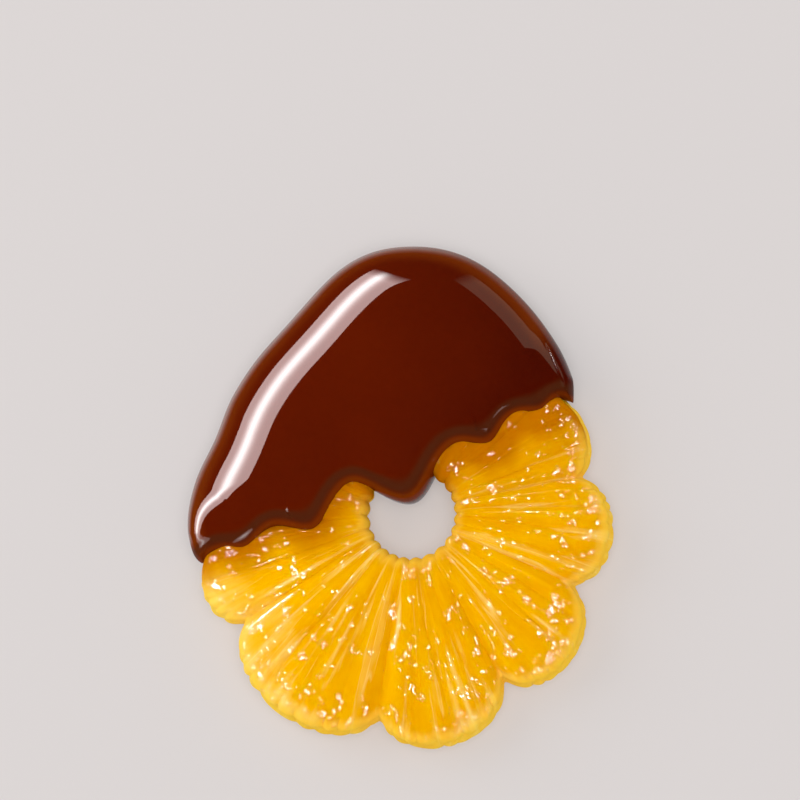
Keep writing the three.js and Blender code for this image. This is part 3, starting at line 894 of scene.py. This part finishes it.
def fan_group():
    """Places that fan out from the ring's axis, so that a pattern on them runs outwards."""
    found = bpy.data.node_groups.get("Fan")
    if found:
        return found
    nodes, given, out = group(
        "Fan",
        [("Vector", "NodeSocketVector", None), ("Waves", "NodeSocketFloat", 50.0),
         ("Outwards", "NodeSocketFloat", 100.0)],
        [("Vector", "NodeSocketVector")],
    )
    flat = nodes.vector_math("MULTIPLY", given["Vector"], (1.0, 1.0, 0.0))
    reach = nodes.vector_math("LENGTH", flat)
    way = nodes.vector_math("NORMALIZE", flat)
    spread = nodes.math("DIVIDE", given["Waves"], 2.0 * math.pi)
    ring = nodes.vector_math("SCALE", way, scale=spread)
    rise = nodes.part(given["Vector"], "Z")
    along = nodes.times(nodes.math("ADD", reach, rise), given["Outwards"])
    up = nodes.add("ShaderNodeCombineXYZ", {"Z": along}).outputs["Vector"]
    nodes.feed(out["Vector"], nodes.vector_math("ADD", ring, up))
    return nodes.tree


def blister_group():
    """Small uneven domes with sloping sides: their height, and where they are."""
    found = bpy.data.node_groups.get("Blisters")
    if found:
        return found
    nodes, given, out = group(
        "Blisters",
        [("Vector", "NodeSocketVector", None), ("Size", "NodeSocketFloat", 0.001),
         ("Crowd", "NodeSocketFloat", 0.5)],
        [("Height", "NodeSocketFloat"), ("Mask", "NodeSocketFloat")],
    )
    size = nodes.math("DIVIDE", 1.0, given["Size"])
    place = nodes.vector_math("SCALE", given["Vector"], scale=size)
    drift = nodes.add("ShaderNodeTexNoise", {"Vector": place, "Scale": 1.6, "Detail": 0.0})
    drift = nodes.vector_math("SCALE", drift.outputs["Color"], scale=0.9)
    place = nodes.vector_math("ADD", place, drift)
    domes = nodes.add("ShaderNodeTexVoronoi", {"Vector": place, "Scale": 1.0}, feature="F1")
    height = nodes.ramp(domes.outputs["Distance"], BLISTER_FOOT, BLISTER_TOP)
    lot = nodes.add("ShaderNodeSeparateColor", {"Color": domes.outputs["Color"]}).outputs["Red"]
    chosen = nodes.ramp(nodes.math("SUBTRACT", given["Crowd"], lot), -0.04, 0.04)
    nodes.feed(out["Height"], nodes.times(height, chosen))
    near = nodes.ramp(domes.outputs["Distance"], BLISTER_SKIN, BLISTER_FOOT)
    nodes.feed(out["Mask"], nodes.times(near, chosen))
    return nodes.tree


def placed(nodes, tree, **values):
    """A node of a group, with values for its named inputs."""
    node = nodes.add("ShaderNodeGroup", node_tree=tree)
    for name, value in values.items():
        nodes.feed(node.inputs[name], value)
    return node.outputs


def new_material(name, constants):
    """A material with its shader, whose constant numbers are given by name."""
    material = bpy.data.materials.new(name)
    material.use_nodes = True
    shader = material.node_tree.nodes["Principled BSDF"]
    for socket, value in constants.items():
        shader.inputs[socket].default_value = value
    return material, Nodes(material.node_tree), shader


def fruit_material(look):
    """Candied fruit: golden and translucent, with cloudy ridges and a wet, sticky gloss."""
    material, nodes, shader = new_material("candied pineapple", {
        "Subsurface Weight": 0.7,
        "Subsurface Radius": (1.0, 1.0, 0.9),
        "Subsurface Scale": 1.1 * MM,
        "IOR": 1.4,
        "Specular IOR Level": 0.0,
        "Coat Roughness": 0.03,
        "Coat IOR": 1.5,
    })
    here = nodes.add("ShaderNodeTexCoord").outputs["Object"]
    about_hole = nodes.add("ShaderNodeMapping", {"Vector": here, "Location": -HOLE_PLACE})
    about_hole = about_hole.outputs["Vector"]
    ridge = nodes.attribute("ridge")
    milky = nodes.attribute("milky")
    blisters = nodes.attribute("blisters")
    stain = nodes.attribute("stain")
    wall = nodes.attribute("wall")
    strand = nodes.attribute("strand")

    def fanned(waves, outwards):
        return placed(nodes, fan_group(), Vector=about_hole, Waves=waves,
                      Outwards=outwards)["Vector"]

    def streaked(waves, outwards, contrast):
        return placed(nodes, mottle_group(), Vector=fanned(waves, outwards), Scale=1.0,
                      Contrast=contrast)["Mask"]

    streaks, fibres, clouds = streaked(*STREAKS), streaked(*FIBRES), streaked(*CLOUDS)
    patches = placed(nodes, mottle_group(), Vector=here, Scale=170.0, Contrast=1.8)["Mask"]

    # Partly painted shade: the valleys between the ridges are painted deeper, along with the
    # flesh's own darker streaks and fibres.
    light = nodes.math("MULTIPLY_ADD", ridge, 0.2, nodes.times(streaks, 0.6))
    light = nodes.math("MULTIPLY_ADD", fibres, 0.2, light)
    body = nodes.mix(nodes.ramp(light, 0.2, 0.8), look.deep_and_shaded_colour, look.golden_colour)
    # Painted light: the fruit's left side is painted brighter, as if the light from the left falls
    # on it.
    body = nodes.mix(nodes.ramp(nodes.part(here, "X"), *LIT_LEFT_FROM_TO), body, look.lit_left_colour)
    veins = nodes.add("ShaderNodeTexNoise",
                      {"Vector": fanned(*VEINS), "Scale": 1.0, "Detail": 2.5})
    from_vein = nodes.math("ABSOLUTE", nodes.math("SUBTRACT", veins.outputs["Fac"], 0.5))
    vein = nodes.times(nodes.ramp(from_vein, 0.035, 0.0), nodes.ramp(clouds, 0.3, 0.8))
    # The pale mix is partly the flesh's cloudy veins and bands, and partly painted light on the
    # rims and the left lobe ends.
    cloud = nodes.times(milky, nodes.math("MULTIPLY_ADD", fibres, 0.5, 0.75))
    cloud = nodes.math("MULTIPLY_ADD", vein, look.vein_strength, cloud)
    cloud = nodes.math("MULTIPLY_ADD", nodes.ramp(clouds, 0.55, 1.0), look.cloud_strength, cloud)
    cloud = nodes.times(cloud, nodes.math("SUBTRACT", 1.0, stain))
    body = nodes.mix(nodes.ramp(cloud, 0.18, 1.0), body, look.pale_and_lit_colour)
    # Painted light: the walls get little light, so they are painted a brighter orange that glows.
    body = nodes.mix(nodes.times(wall, 0.6), body, look.wall_glow_colour)
    # Painted shade beside the chocolate and on the right.
    body = nodes.mix(stain, body, look.painted_shade_colour)
    nodes.feed(shader.inputs["Base Color"], body)

    crowd = nodes.times(blisters, nodes.ramp(patches, 0.1, 0.8))
    small, large = (
        placed(nodes, blister_group(), Vector=here, Size=pitch, Crowd=nodes.times(crowd, share))
        for pitch, share in (SMALL_BLISTERS, LARGE_BLISTERS)
    )
    wrinkles = nodes.add("ShaderNodeTexNoise",
                         {"Vector": fanned(*WRINKLES), "Scale": 1.0, "Detail": 1.0})
    normal = nodes.bump(wrinkles.outputs["Fac"], 1.0, look.wrinkle_depth)
    normal = nodes.bump(small["Height"], 1.0, look.drop_height, normal)
    normal = nodes.bump(large["Height"], 1.0, 2.0 * look.drop_height, normal)
    nodes.feed(shader.inputs["Normal"], nodes.bump(fibres, 1.0, 0.02 * MM))
    nodes.feed(shader.inputs["Coat Normal"], normal)
    nodes.feed(shader.inputs["Roughness"], nodes.math("MULTIPLY_ADD", patches, 0.15, 0.25))
    wet = nodes.times(nodes.ramp(strand, 0.45, 0.9), look.strand_gloss)
    wet = nodes.math("MAXIMUM", wet, nodes.math("MAXIMUM", small["Mask"], large["Mask"]))
    nodes.feed(shader.inputs["Coat Weight"],
               nodes.times(wet, nodes.math("MULTIPLY_ADD", wall, -0.85, 1.0)))
    return material


def chocolate_material(look):
    """Chocolate: reddish dark brown and very smooth, with a clear gloss. Its lip has a lighter
    band, a painted reflection, and thins to a warmer edge, partly painted light; its left is
    painted warmer as if lit."""
    material, nodes, shader = new_material("dark chocolate", {
        "Subsurface Weight": 0.15,
        "Subsurface Radius": (1.0, 0.25, 0.08),
        "Subsurface Scale": 1.0 * MM,
        "IOR": 1.45,
        "Specular IOR Level": 0.0,
        "Coat Roughness": 0.03,
    })
    here = nodes.add("ShaderNodeTexCoord").outputs["Object"]
    patches = placed(nodes, mottle_group(), Vector=here, Scale=60.0, Contrast=1.4)["Mask"]
    grain = placed(nodes, mottle_group(), Vector=here, Scale=900.0, Contrast=1.4)["Mask"]
    # Painted light: the chocolate is painted warmer towards the left, where light falls. Its
    # patches and grain are its own uneven tone.
    left = nodes.ramp(nodes.part(here, "X"), *LIT_WARM_FROM_TO)
    warm_and_lit = nodes.math("MULTIPLY_ADD", patches, 0.4, nodes.math("MULTIPLY_ADD", left, 0.8, -0.2))
    warm_and_lit = nodes.math("MULTIPLY_ADD", grain, 0.2, warm_and_lit)
    thin = nodes.attribute("thin")
    lip = nodes.attribute("lip")
    band = nodes.attribute("band")
    body = nodes.mix(warm_and_lit, look.dark_colour, look.warm_and_lit_colour)
    # Partly painted light: the thin edges are painted brighter and warmer than their shade allows.
    body = nodes.mix(nodes.times(thin, 0.9), body, look.thin_and_lit_colour)
    # Painted reflection on the lip's bead.
    body = nodes.mix(nodes.times(band, 0.8), body, look.painted_reflection_colour)
    nodes.feed(shader.inputs["Base Color"], body)
    nodes.feed(shader.inputs["Normal"], nodes.bump(patches, 0.15, 0.1 * MM))
    nodes.feed(shader.inputs["Roughness"], nodes.math("MULTIPLY_ADD", patches, 0.06, 0.16))
    nodes.feed(shader.inputs["Coat Weight"], nodes.math("MULTIPLY_ADD", lip, -0.75, 1.0))
    return material


def floor_material(look):
    """A plain pale surface, lit a little from below like a light table."""
    material, nodes, shader = new_material("pale floor", {
        "Base Color": (*look.floor_colour, 1.0),
        "Specular IOR Level": 0.2,
        "Emission Color": (*look.floor_colour, 1.0),
        "Emission Strength": look.floor_glow,
    })
    here = nodes.add("ShaderNodeTexCoord").outputs["Object"]
    patches = placed(nodes, mottle_group(), Vector=here, Scale=12.0, Contrast=0.6)["Mask"]
    nodes.feed(shader.inputs["Roughness"], nodes.math("MULTIPLY_ADD", patches, 0.1, 0.6))
    return material


def dress(piece, material, node):
    """Gives a piece its material, and lets it stand for a node of the model."""
    piece.data.materials.append(material)
    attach(piece, BODY)
    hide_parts(node)


def length(name, description, default):
    return FloatProperty(name=name, description=description, default=default, unit="LENGTH",
                         precision=5)


def colour(name, description, default):
    return FloatVectorProperty(name=name, description=description, default=default,
                               subtype="COLOR", size=3, min=0.0, max=1.0)


def strength(name, description, default, most=1.0):
    return FloatProperty(name=name, description=description, default=default,
                         subtype="FACTOR", min=0.0, max=most)


def brightness(name, description, default):
    return FloatProperty(name=name, description=description, default=default, min=0.0)


class FruitSettings(bpy.types.PropertyGroup):
    """Sizes and colours of the candied fruit."""

    thickness: length("Thickness", "Thickness of the slice", 11.0 * MM)
    front_taper: length("Taper", "How much less far the face reaches than the back", 0.9 * MM)
    hole_radius: length("Hole radius", "Radius of the hole in the middle", 7.9 * MM)
    bump_depth: length("Hole bumps", "Depth of the bumps round the hole", 0.5 * MM)
    notch_share: strength("Notches", "Depth of the notches against their own", 1.0, most=1.5)
    fold_depth: length("Fold depth", "Depth of the folds that fan out over a lobe", 0.6 * MM)
    crease_depth: length("Crease depth", "Depth of the crease that runs in from a notch", 1.3 * MM)
    dome: length("Dome", "How far a lobe's sides lie below its middle", 0.7 * MM)
    waist_depth: length("Waist", "Depth of the groove round the outer wall", 0.5 * MM)
    strand_height: length("Strands", "Height of the raised strands along the folds", 0.12 * MM)
    fibre_depth: length("Fibre depth", "Depth of the fine fibres", 0.03 * MM)
    lump_depth: length("Lump depth", "Height of the fruit's small lumps", 0.25 * MM)
    bead_depth: length("Bead depth", "Depth between the beads on the rims", 0.65 * MM)
    wrinkle_depth: length("Wrinkles", "Depth of the finest wrinkles", 0.04 * MM)
    drop_height: length("Drops", "Height of the smallest blisters", 0.18 * MM)
    strand_gloss: strength("Strand gloss", "Gloss of the raised strands on the left", 0.5)
    vein_strength: strength("Veins", "Strength of the thin pale veins", 0.28)
    cloud_strength: strength("Clouds", "Strength of the broad pale bands", 0.3)
    # Partly painted shade in the valleys, and partly the flesh's own darker streaks.
    deep_and_shaded_colour: colour("Deep colour", "Colour in the valleys", (0.77, 0.345, 0.0))
    golden_colour: colour("Golden colour", "Colour of the flesh", (0.84, 0.44, 0.0))
    # Painted light on the fruit's left side.
    lit_left_colour: colour("Sunny colour", "Colour of the flesh on the left", (0.96, 0.53, 0.0))
    # Partly painted light: the rims and the left lobe ends are painted paler where light from the
    # left falls.
    pale_and_lit_colour: colour("Pale colour", "Colour of cloudy ridges and rims", (0.97, 0.71, 0.22))
    # Painted light: a brighter colour for the dimly lit walls.
    wall_glow_colour: colour("Wall colour", "Colour of the ring's walls", (1.0, 0.6, 0.06))
    # Painted shade on the fruit beside the chocolate.
    painted_shade_colour: colour("Stain", "Colour of the fruit beside the chocolate", (0.52, 0.17, 0.0))


class ChocolateSettings(bpy.types.PropertyGroup):
    """Sizes and colours of the chocolate."""

    cover: length("Cover", "Thickness over the fruit away from the lip", 2.3 * MM)
    lip_height: length("Lip height", "Height of the bead on the lip above the fruit", 1.3 * MM)
    trough_depth: length("Trough", "Depth of the hollow behind the lip", 0.2 * MM)
    crest_rise: length("Crest", "How far the crest rises past the fruit", 8.9 * MM)
    dark_colour: colour("Dark colour", "Colour of the chocolate", (0.058, 0.003, 0.0))
    # Partly its own warmer patches, and partly painted light on the left.
    warm_and_lit_colour: colour("Warm colour", "Colour of its warmer patches", (0.105, 0.0075, 0.0))
    # Partly painted light on the thin edges.
    thin_and_lit_colour: colour("Thin colour", "Colour of its thin edges", (0.17, 0.026, 0.001))
    # Painted reflection on the lip's bead.
    painted_reflection_colour: colour("Band colour", "Colour of the band on its lip", (0.066, 0.016, 0.005))


class StageSettings(bpy.types.PropertyGroup):
    """The floor, the lights and the camera."""

    floor_size: length("Floor size", "Half the side of the floor", 4.0)
    floor_colour: colour("Floor colour", "Colour of the floor", (0.34, 0.323, 0.32))
    floor_glow: brightness("Floor glow", "How brightly the floor is lit from below", 0.95)
    frame_width: length("Frame width", "Width of what the camera sees", 142.4 * MM)
    camera_distance: length("Camera distance", "From the camera to the ring", 1.2)
    lean_right: FloatProperty(name="Lean right", description="Camera's lean to the right",
                              default=math.asin(0.12), unit="ROTATION")
    lean_down: FloatProperty(name="Lean down", description="Camera's lean towards the bare half",
                             default=math.asin(0.13), unit="ROTATION")
    overhead: brightness("Overhead", "Brightness of the light over the camera", 5.3)
    side: brightness("Side", "Brightness of the light on the left", 1.4)
    window: brightness("Window", "Brightness of the window in the chocolate's gloss", 7.0)
    window_core: brightness("Window core", "How much brighter its middle is", 1.9)
    far_window: brightness("Far window", "Brightness of the dim window on the right", 0.7)
    glint_line: brightness("Glint line", "Brightness of the long glints on the fruit", 60.0)
    glint_left: brightness("Glints, left", "Brightness of the small glints, left", 36.0)
    glint_right: brightness("Glints, right", "Brightness of the small glints, right", 30.0)
    glint_front: brightness("Glints, front", "Brightness of the small glints, front", 30.0)
    surround: brightness("Surround", "Brightness of the pale surround", 0.48)
    horizon: brightness("Horizon", "How much more light comes in level", 1.8)
    surround_gloss: brightness("Surround gloss", "How bright the gloss sees it", 0.03)
    ground_gloss: brightness("Ground gloss", "How bright steep gloss sees the ground", 0.5)
    ground_gloss_left: brightness("Left ground gloss", "How much brighter on the left", 1.0)


class CANDIEDRING_OT_make_fruit(bpy.types.Operator):
    """Make the candied fruit in full detail"""

    bl_idname = "candied_ring.make_fruit"
    bl_label = "Make fruit"
    bl_options = {"REGISTER", "UNDO"}

    def execute(self, context):
        settings = context.scene.candied_fruit
        ring = RingShape(settings)
        coat = CoatShape(context.scene.candied_chocolate, ring)
        piece = make_fruit_mesh(ring, coat)
        dress(piece, fruit_material(settings), FRUIT_NODE)
        return {"FINISHED"}


class CANDIEDRING_OT_make_chocolate(bpy.types.Operator):
    """Make the chocolate over the upper half of the fruit"""

    bl_idname = "candied_ring.make_chocolate"
    bl_label = "Make chocolate"
    bl_options = {"REGISTER", "UNDO"}

    def execute(self, context):
        ring = RingShape(context.scene.candied_fruit)
        settings = context.scene.candied_chocolate
        cutter = make_cutter(ring)
        piece = make_coat_mesh(CoatShape(settings, ring), cutter)
        bpy.data.objects.remove(cutter)
        dress(piece, chocolate_material(settings), COAT_NODE)
        return {"FINISHED"}


def soften(data, core, dim):
    """Makes a light brighter and whiter along its middle, and lets it fade at its two ends."""
    data.use_nodes = True
    nodes = Nodes(data.node_tree)
    place = nodes.add("ShaderNodeNewGeometry").outputs["Parametric"]
    across = nodes.math("SUBTRACT", nodes.part(place, "X"), 0.5)
    across = nodes.math("DIVIDE", across, CORE_HALF_WIDTH)
    peak = nodes.math("EXPONENT", nodes.times(nodes.times(across, across), -1.0))
    shine = nodes.math("MULTIPLY_ADD", peak, core, 1.0)
    along = nodes.math("SUBTRACT", nodes.part(place, "Y"), 0.5)
    end = nodes.math("SUBTRACT", 0.5, nodes.math("ABSOLUTE", along))
    shine = nodes.times(shine, nodes.ramp(end, 0.0, END_FADE))
    emission = data.node_tree.nodes["Emission"].inputs
    nodes.feed(emission["Strength"], shine)
    nodes.feed(emission["Color"], nodes.mix(peak, dim, WHITE))


def add_light(light, brightness):
    """A soft rectangular light that faces the ring, with its second side level. One that is for a
    single piece is only seen in that piece's gloss."""
    data = bpy.data.lights.new(light.name, "AREA")
    data.shape = "RECTANGLE"
    data.size, data.size_y = light.size
    data.energy = 4.0 * brightness * light.size[0] * light.size[1]
    data.color = light.colour
    lamp = bpy.data.objects.new(light.name, data)
    turn, tilt = math.radians(light.bearing), math.radians(light.tilt)
    out = Vector((math.cos(turn), math.sin(turn), 0.0))
    level = Vector((-out.y, out.x, 0.0))
    back = out * math.sin(tilt) + Vector((0.0, 0.0, math.cos(tilt)))
    facing = Matrix((level.cross(back), level, back)).transposed().to_4x4()
    lamp.matrix_world = Matrix.Translation(back * light.distance) @ facing
    lamp.visible_camera = False
    lamp.visible_glossy = light.only is not None
    lamp.visible_diffuse = light.only is None
    bpy.context.scene.collection.objects.link(lamp)
    if light.only:
        lit = bpy.data.collections.new(light.name)
        lit.objects.link(bpy.data.objects[light.only])
        lamp.light_linking.receiver_collection = lit
    return data


def add_camera(settings):
    """A camera that looks down at the ring as the photograph does."""
    tilt_x, tilt_y = math.sin(settings.lean_right), -math.sin(settings.lean_down)
    view = Vector((tilt_x, tilt_y, math.sqrt(1.0 - tilt_x**2 - tilt_y**2)))
    right = Vector((0.0, 1.0, 0.0)).cross(view).normalized()
    up = view.cross(right)
    pixel = settings.frame_width / PHOTO_SIZE
    hole = HOLE_PLACE + Vector((0.0, 0.0, RING_HEIGHT))
    target = hole + right * (PHOTO_MIDDLE[0] - PHOTO_HOLE[0]) * pixel
    target += up * (PHOTO_HOLE[1] - PHOTO_MIDDLE[1]) * pixel
    data = bpy.data.cameras.new("camera")
    data.sensor_width = 36.0
    data.lens = data.sensor_width * settings.camera_distance / settings.frame_width
    data.clip_end = 100.0
    camera = bpy.data.objects.new("camera", data)
    facing = Matrix((right, up, view)).transposed().to_4x4()
    camera.matrix_world = Matrix.Translation(target + view * settings.camera_distance) @ facing
    bpy.context.scene.collection.objects.link(camera)
    bpy.context.scene.camera = camera


Light = namedtuple("Light", "name bearing tilt distance size colour only")
WHITE = (1.0, 1.0, 1.0)
MAUVE = (1.0, 0.79, 0.77)
WARM = (1.0, 0.8, 0.58)
CORE_HALF_WIDTH = 0.16  # of the window's bright middle, as a share of the window
END_FADE = 0.12  # the share of the window over which each of its ends fades
# Two lights light everything. The others are only seen in the gloss: two windows in the
# chocolate's, and a thin panel and three broad ones in the fruit's. Bearings are anticlockwise
# from +X, and tilts are measured from straight up, both in degrees.
LIGHTS = (
    Light("overhead", -47.0, 10.0, 1.7, (0.9, 0.9), WHITE, None),
    Light("side", 155.0, 52.0, 1.0, (0.8, 0.8), WHITE, None),
    Light("window", 151.0, 50.0, 0.9, (0.62, 1.5), WHITE, CHOCOLATE),
    Light("far_window", 38.0, 67.0, 0.9, (0.44, 1.0), WARM, CHOCOLATE),
    Light("glint_line", 150.0, 57.0, 0.9, (0.06, 0.3), WHITE, FRUIT),
    Light("glint_left", 150.0, 62.0, 0.9, (0.5, 1.3), WHITE, FRUIT),
    Light("glint_right", 35.0, 62.0, 0.9, (0.5, 1.3), WHITE, FRUIT),
    Light("glint_front", -75.0, 62.0, 0.9, (0.5, 1.3), WHITE, FRUIT),
)


class CANDIEDRING_OT_set_stage(bpy.types.Operator):
    """Set the floor, the soft lights and the camera"""

    bl_idname = "candied_ring.set_stage"
    bl_label = "Set stage"
    bl_options = {"REGISTER", "UNDO"}

    def execute(self, context):
        settings = context.scene.candied_stage
        bm = bmesh.new()
        bmesh.ops.create_grid(bm, x_segments=1, y_segments=1, size=settings.floor_size)
        floor = finished(bm, "floor")
        floor.data.materials.append(floor_material(settings))
        floor.visible_glossy = False
        for light in LIGHTS:
            data = add_light(light, getattr(settings, light.name))
            if light.name == "window":
                soften(data, settings.window_core, MAUVE)
            elif light.name == "far_window":
                soften(data, 0.0, WHITE)
        self.set_world(context, settings)
        add_camera(settings)
        context.scene.view_settings.view_transform = "Standard"
        return {"FINISHED"}

    @staticmethod
    def set_world(context, settings):
        """A pale surround that the gloss sees as dim, but for steep edges that face the ground."""
        world = bpy.data.worlds.new("studio")
        world.use_nodes = True
        context.scene.world = world
        nodes = Nodes(world.node_tree)
        background = world.node_tree.nodes["Background"]
        background.inputs["Color"].default_value = (0.69, 0.66, 0.65, 1.0)
        path = nodes.add("ShaderNodeLightPath")
        way = nodes.add("ShaderNodeTexCoord").outputs["Generated"]
        height = nodes.part(way, "Z")
        to_left = nodes.vector_math("DOT_PRODUCT", way, LEFT)
        left = nodes.times(nodes.ramp(to_left, 0.0, 1.0), settings.ground_gloss_left)
        ground = nodes.times(nodes.ramp(height, *GROUND_GLOSS_FROM_TO),
                            nodes.math("ADD", left, settings.ground_gloss))
        gloss = nodes.math("ADD", ground, settings.surround_gloss)
        level = nodes.ramp(nodes.math("ABSOLUTE", height), HORIZON_HEIGHT, 0.0)
        light = nodes.math("MULTIPLY_ADD", level, settings.horizon, settings.surround)
        light = nodes.times(light,
                           nodes.math("SUBTRACT", 1.0, path.outputs["Is Glossy Ray"]))
        seen = nodes.math("MULTIPLY_ADD", path.outputs["Is Camera Ray"], 1.0 - settings.surround,
                          light)
        strength = nodes.math("MULTIPLY_ADD", path.outputs["Is Glossy Ray"], gloss, seen)
        nodes.feed(background.inputs["Strength"], strength)


class CANDIEDRING_PT_panel(bpy.types.Panel):
    """The candied ring's settings"""

    bl_idname = "CANDIEDRING_PT_panel"
    bl_label = "Candied ring"
    bl_space_type = "VIEW_3D"
    bl_region_type = "UI"
    bl_category = "Candied ring"

    def draw(self, context):
        scene = context.scene
        parts = (
            (scene.candied_fruit, CANDIEDRING_OT_make_fruit),
            (scene.candied_chocolate, CANDIEDRING_OT_make_chocolate),
            (scene.candied_stage, CANDIEDRING_OT_set_stage),
        )
        for settings, operator in parts:
            box = self.layout.box()
            for name in settings.__annotations__:
                box.prop(settings, name)
            box.operator(operator.bl_idname)


CLASSES = (
    FruitSettings,
    ChocolateSettings,
    StageSettings,
    CANDIEDRING_OT_make_fruit,
    CANDIEDRING_OT_make_chocolate,
    CANDIEDRING_OT_set_stage,
    CANDIEDRING_PT_panel,
)


def register():
    for cls in CLASSES:
        bpy.utils.register_class(cls)
    bpy.types.Scene.candied_fruit = PointerProperty(type=FruitSettings)
    bpy.types.Scene.candied_chocolate = PointerProperty(type=ChocolateSettings)
    bpy.types.Scene.candied_stage = PointerProperty(type=StageSettings)


def unregister():
    del bpy.types.Scene.candied_stage
    del bpy.types.Scene.candied_chocolate
    del bpy.types.Scene.candied_fruit
    for cls in reversed(CLASSES):
        bpy.utils.unregister_class(cls)


def main():
    register()
    bpy.ops.candied_ring.make_fruit()
    bpy.ops.candied_ring.make_chocolate()
    bpy.ops.candied_ring.set_stage()


if __name__ == "__main__":
    main()
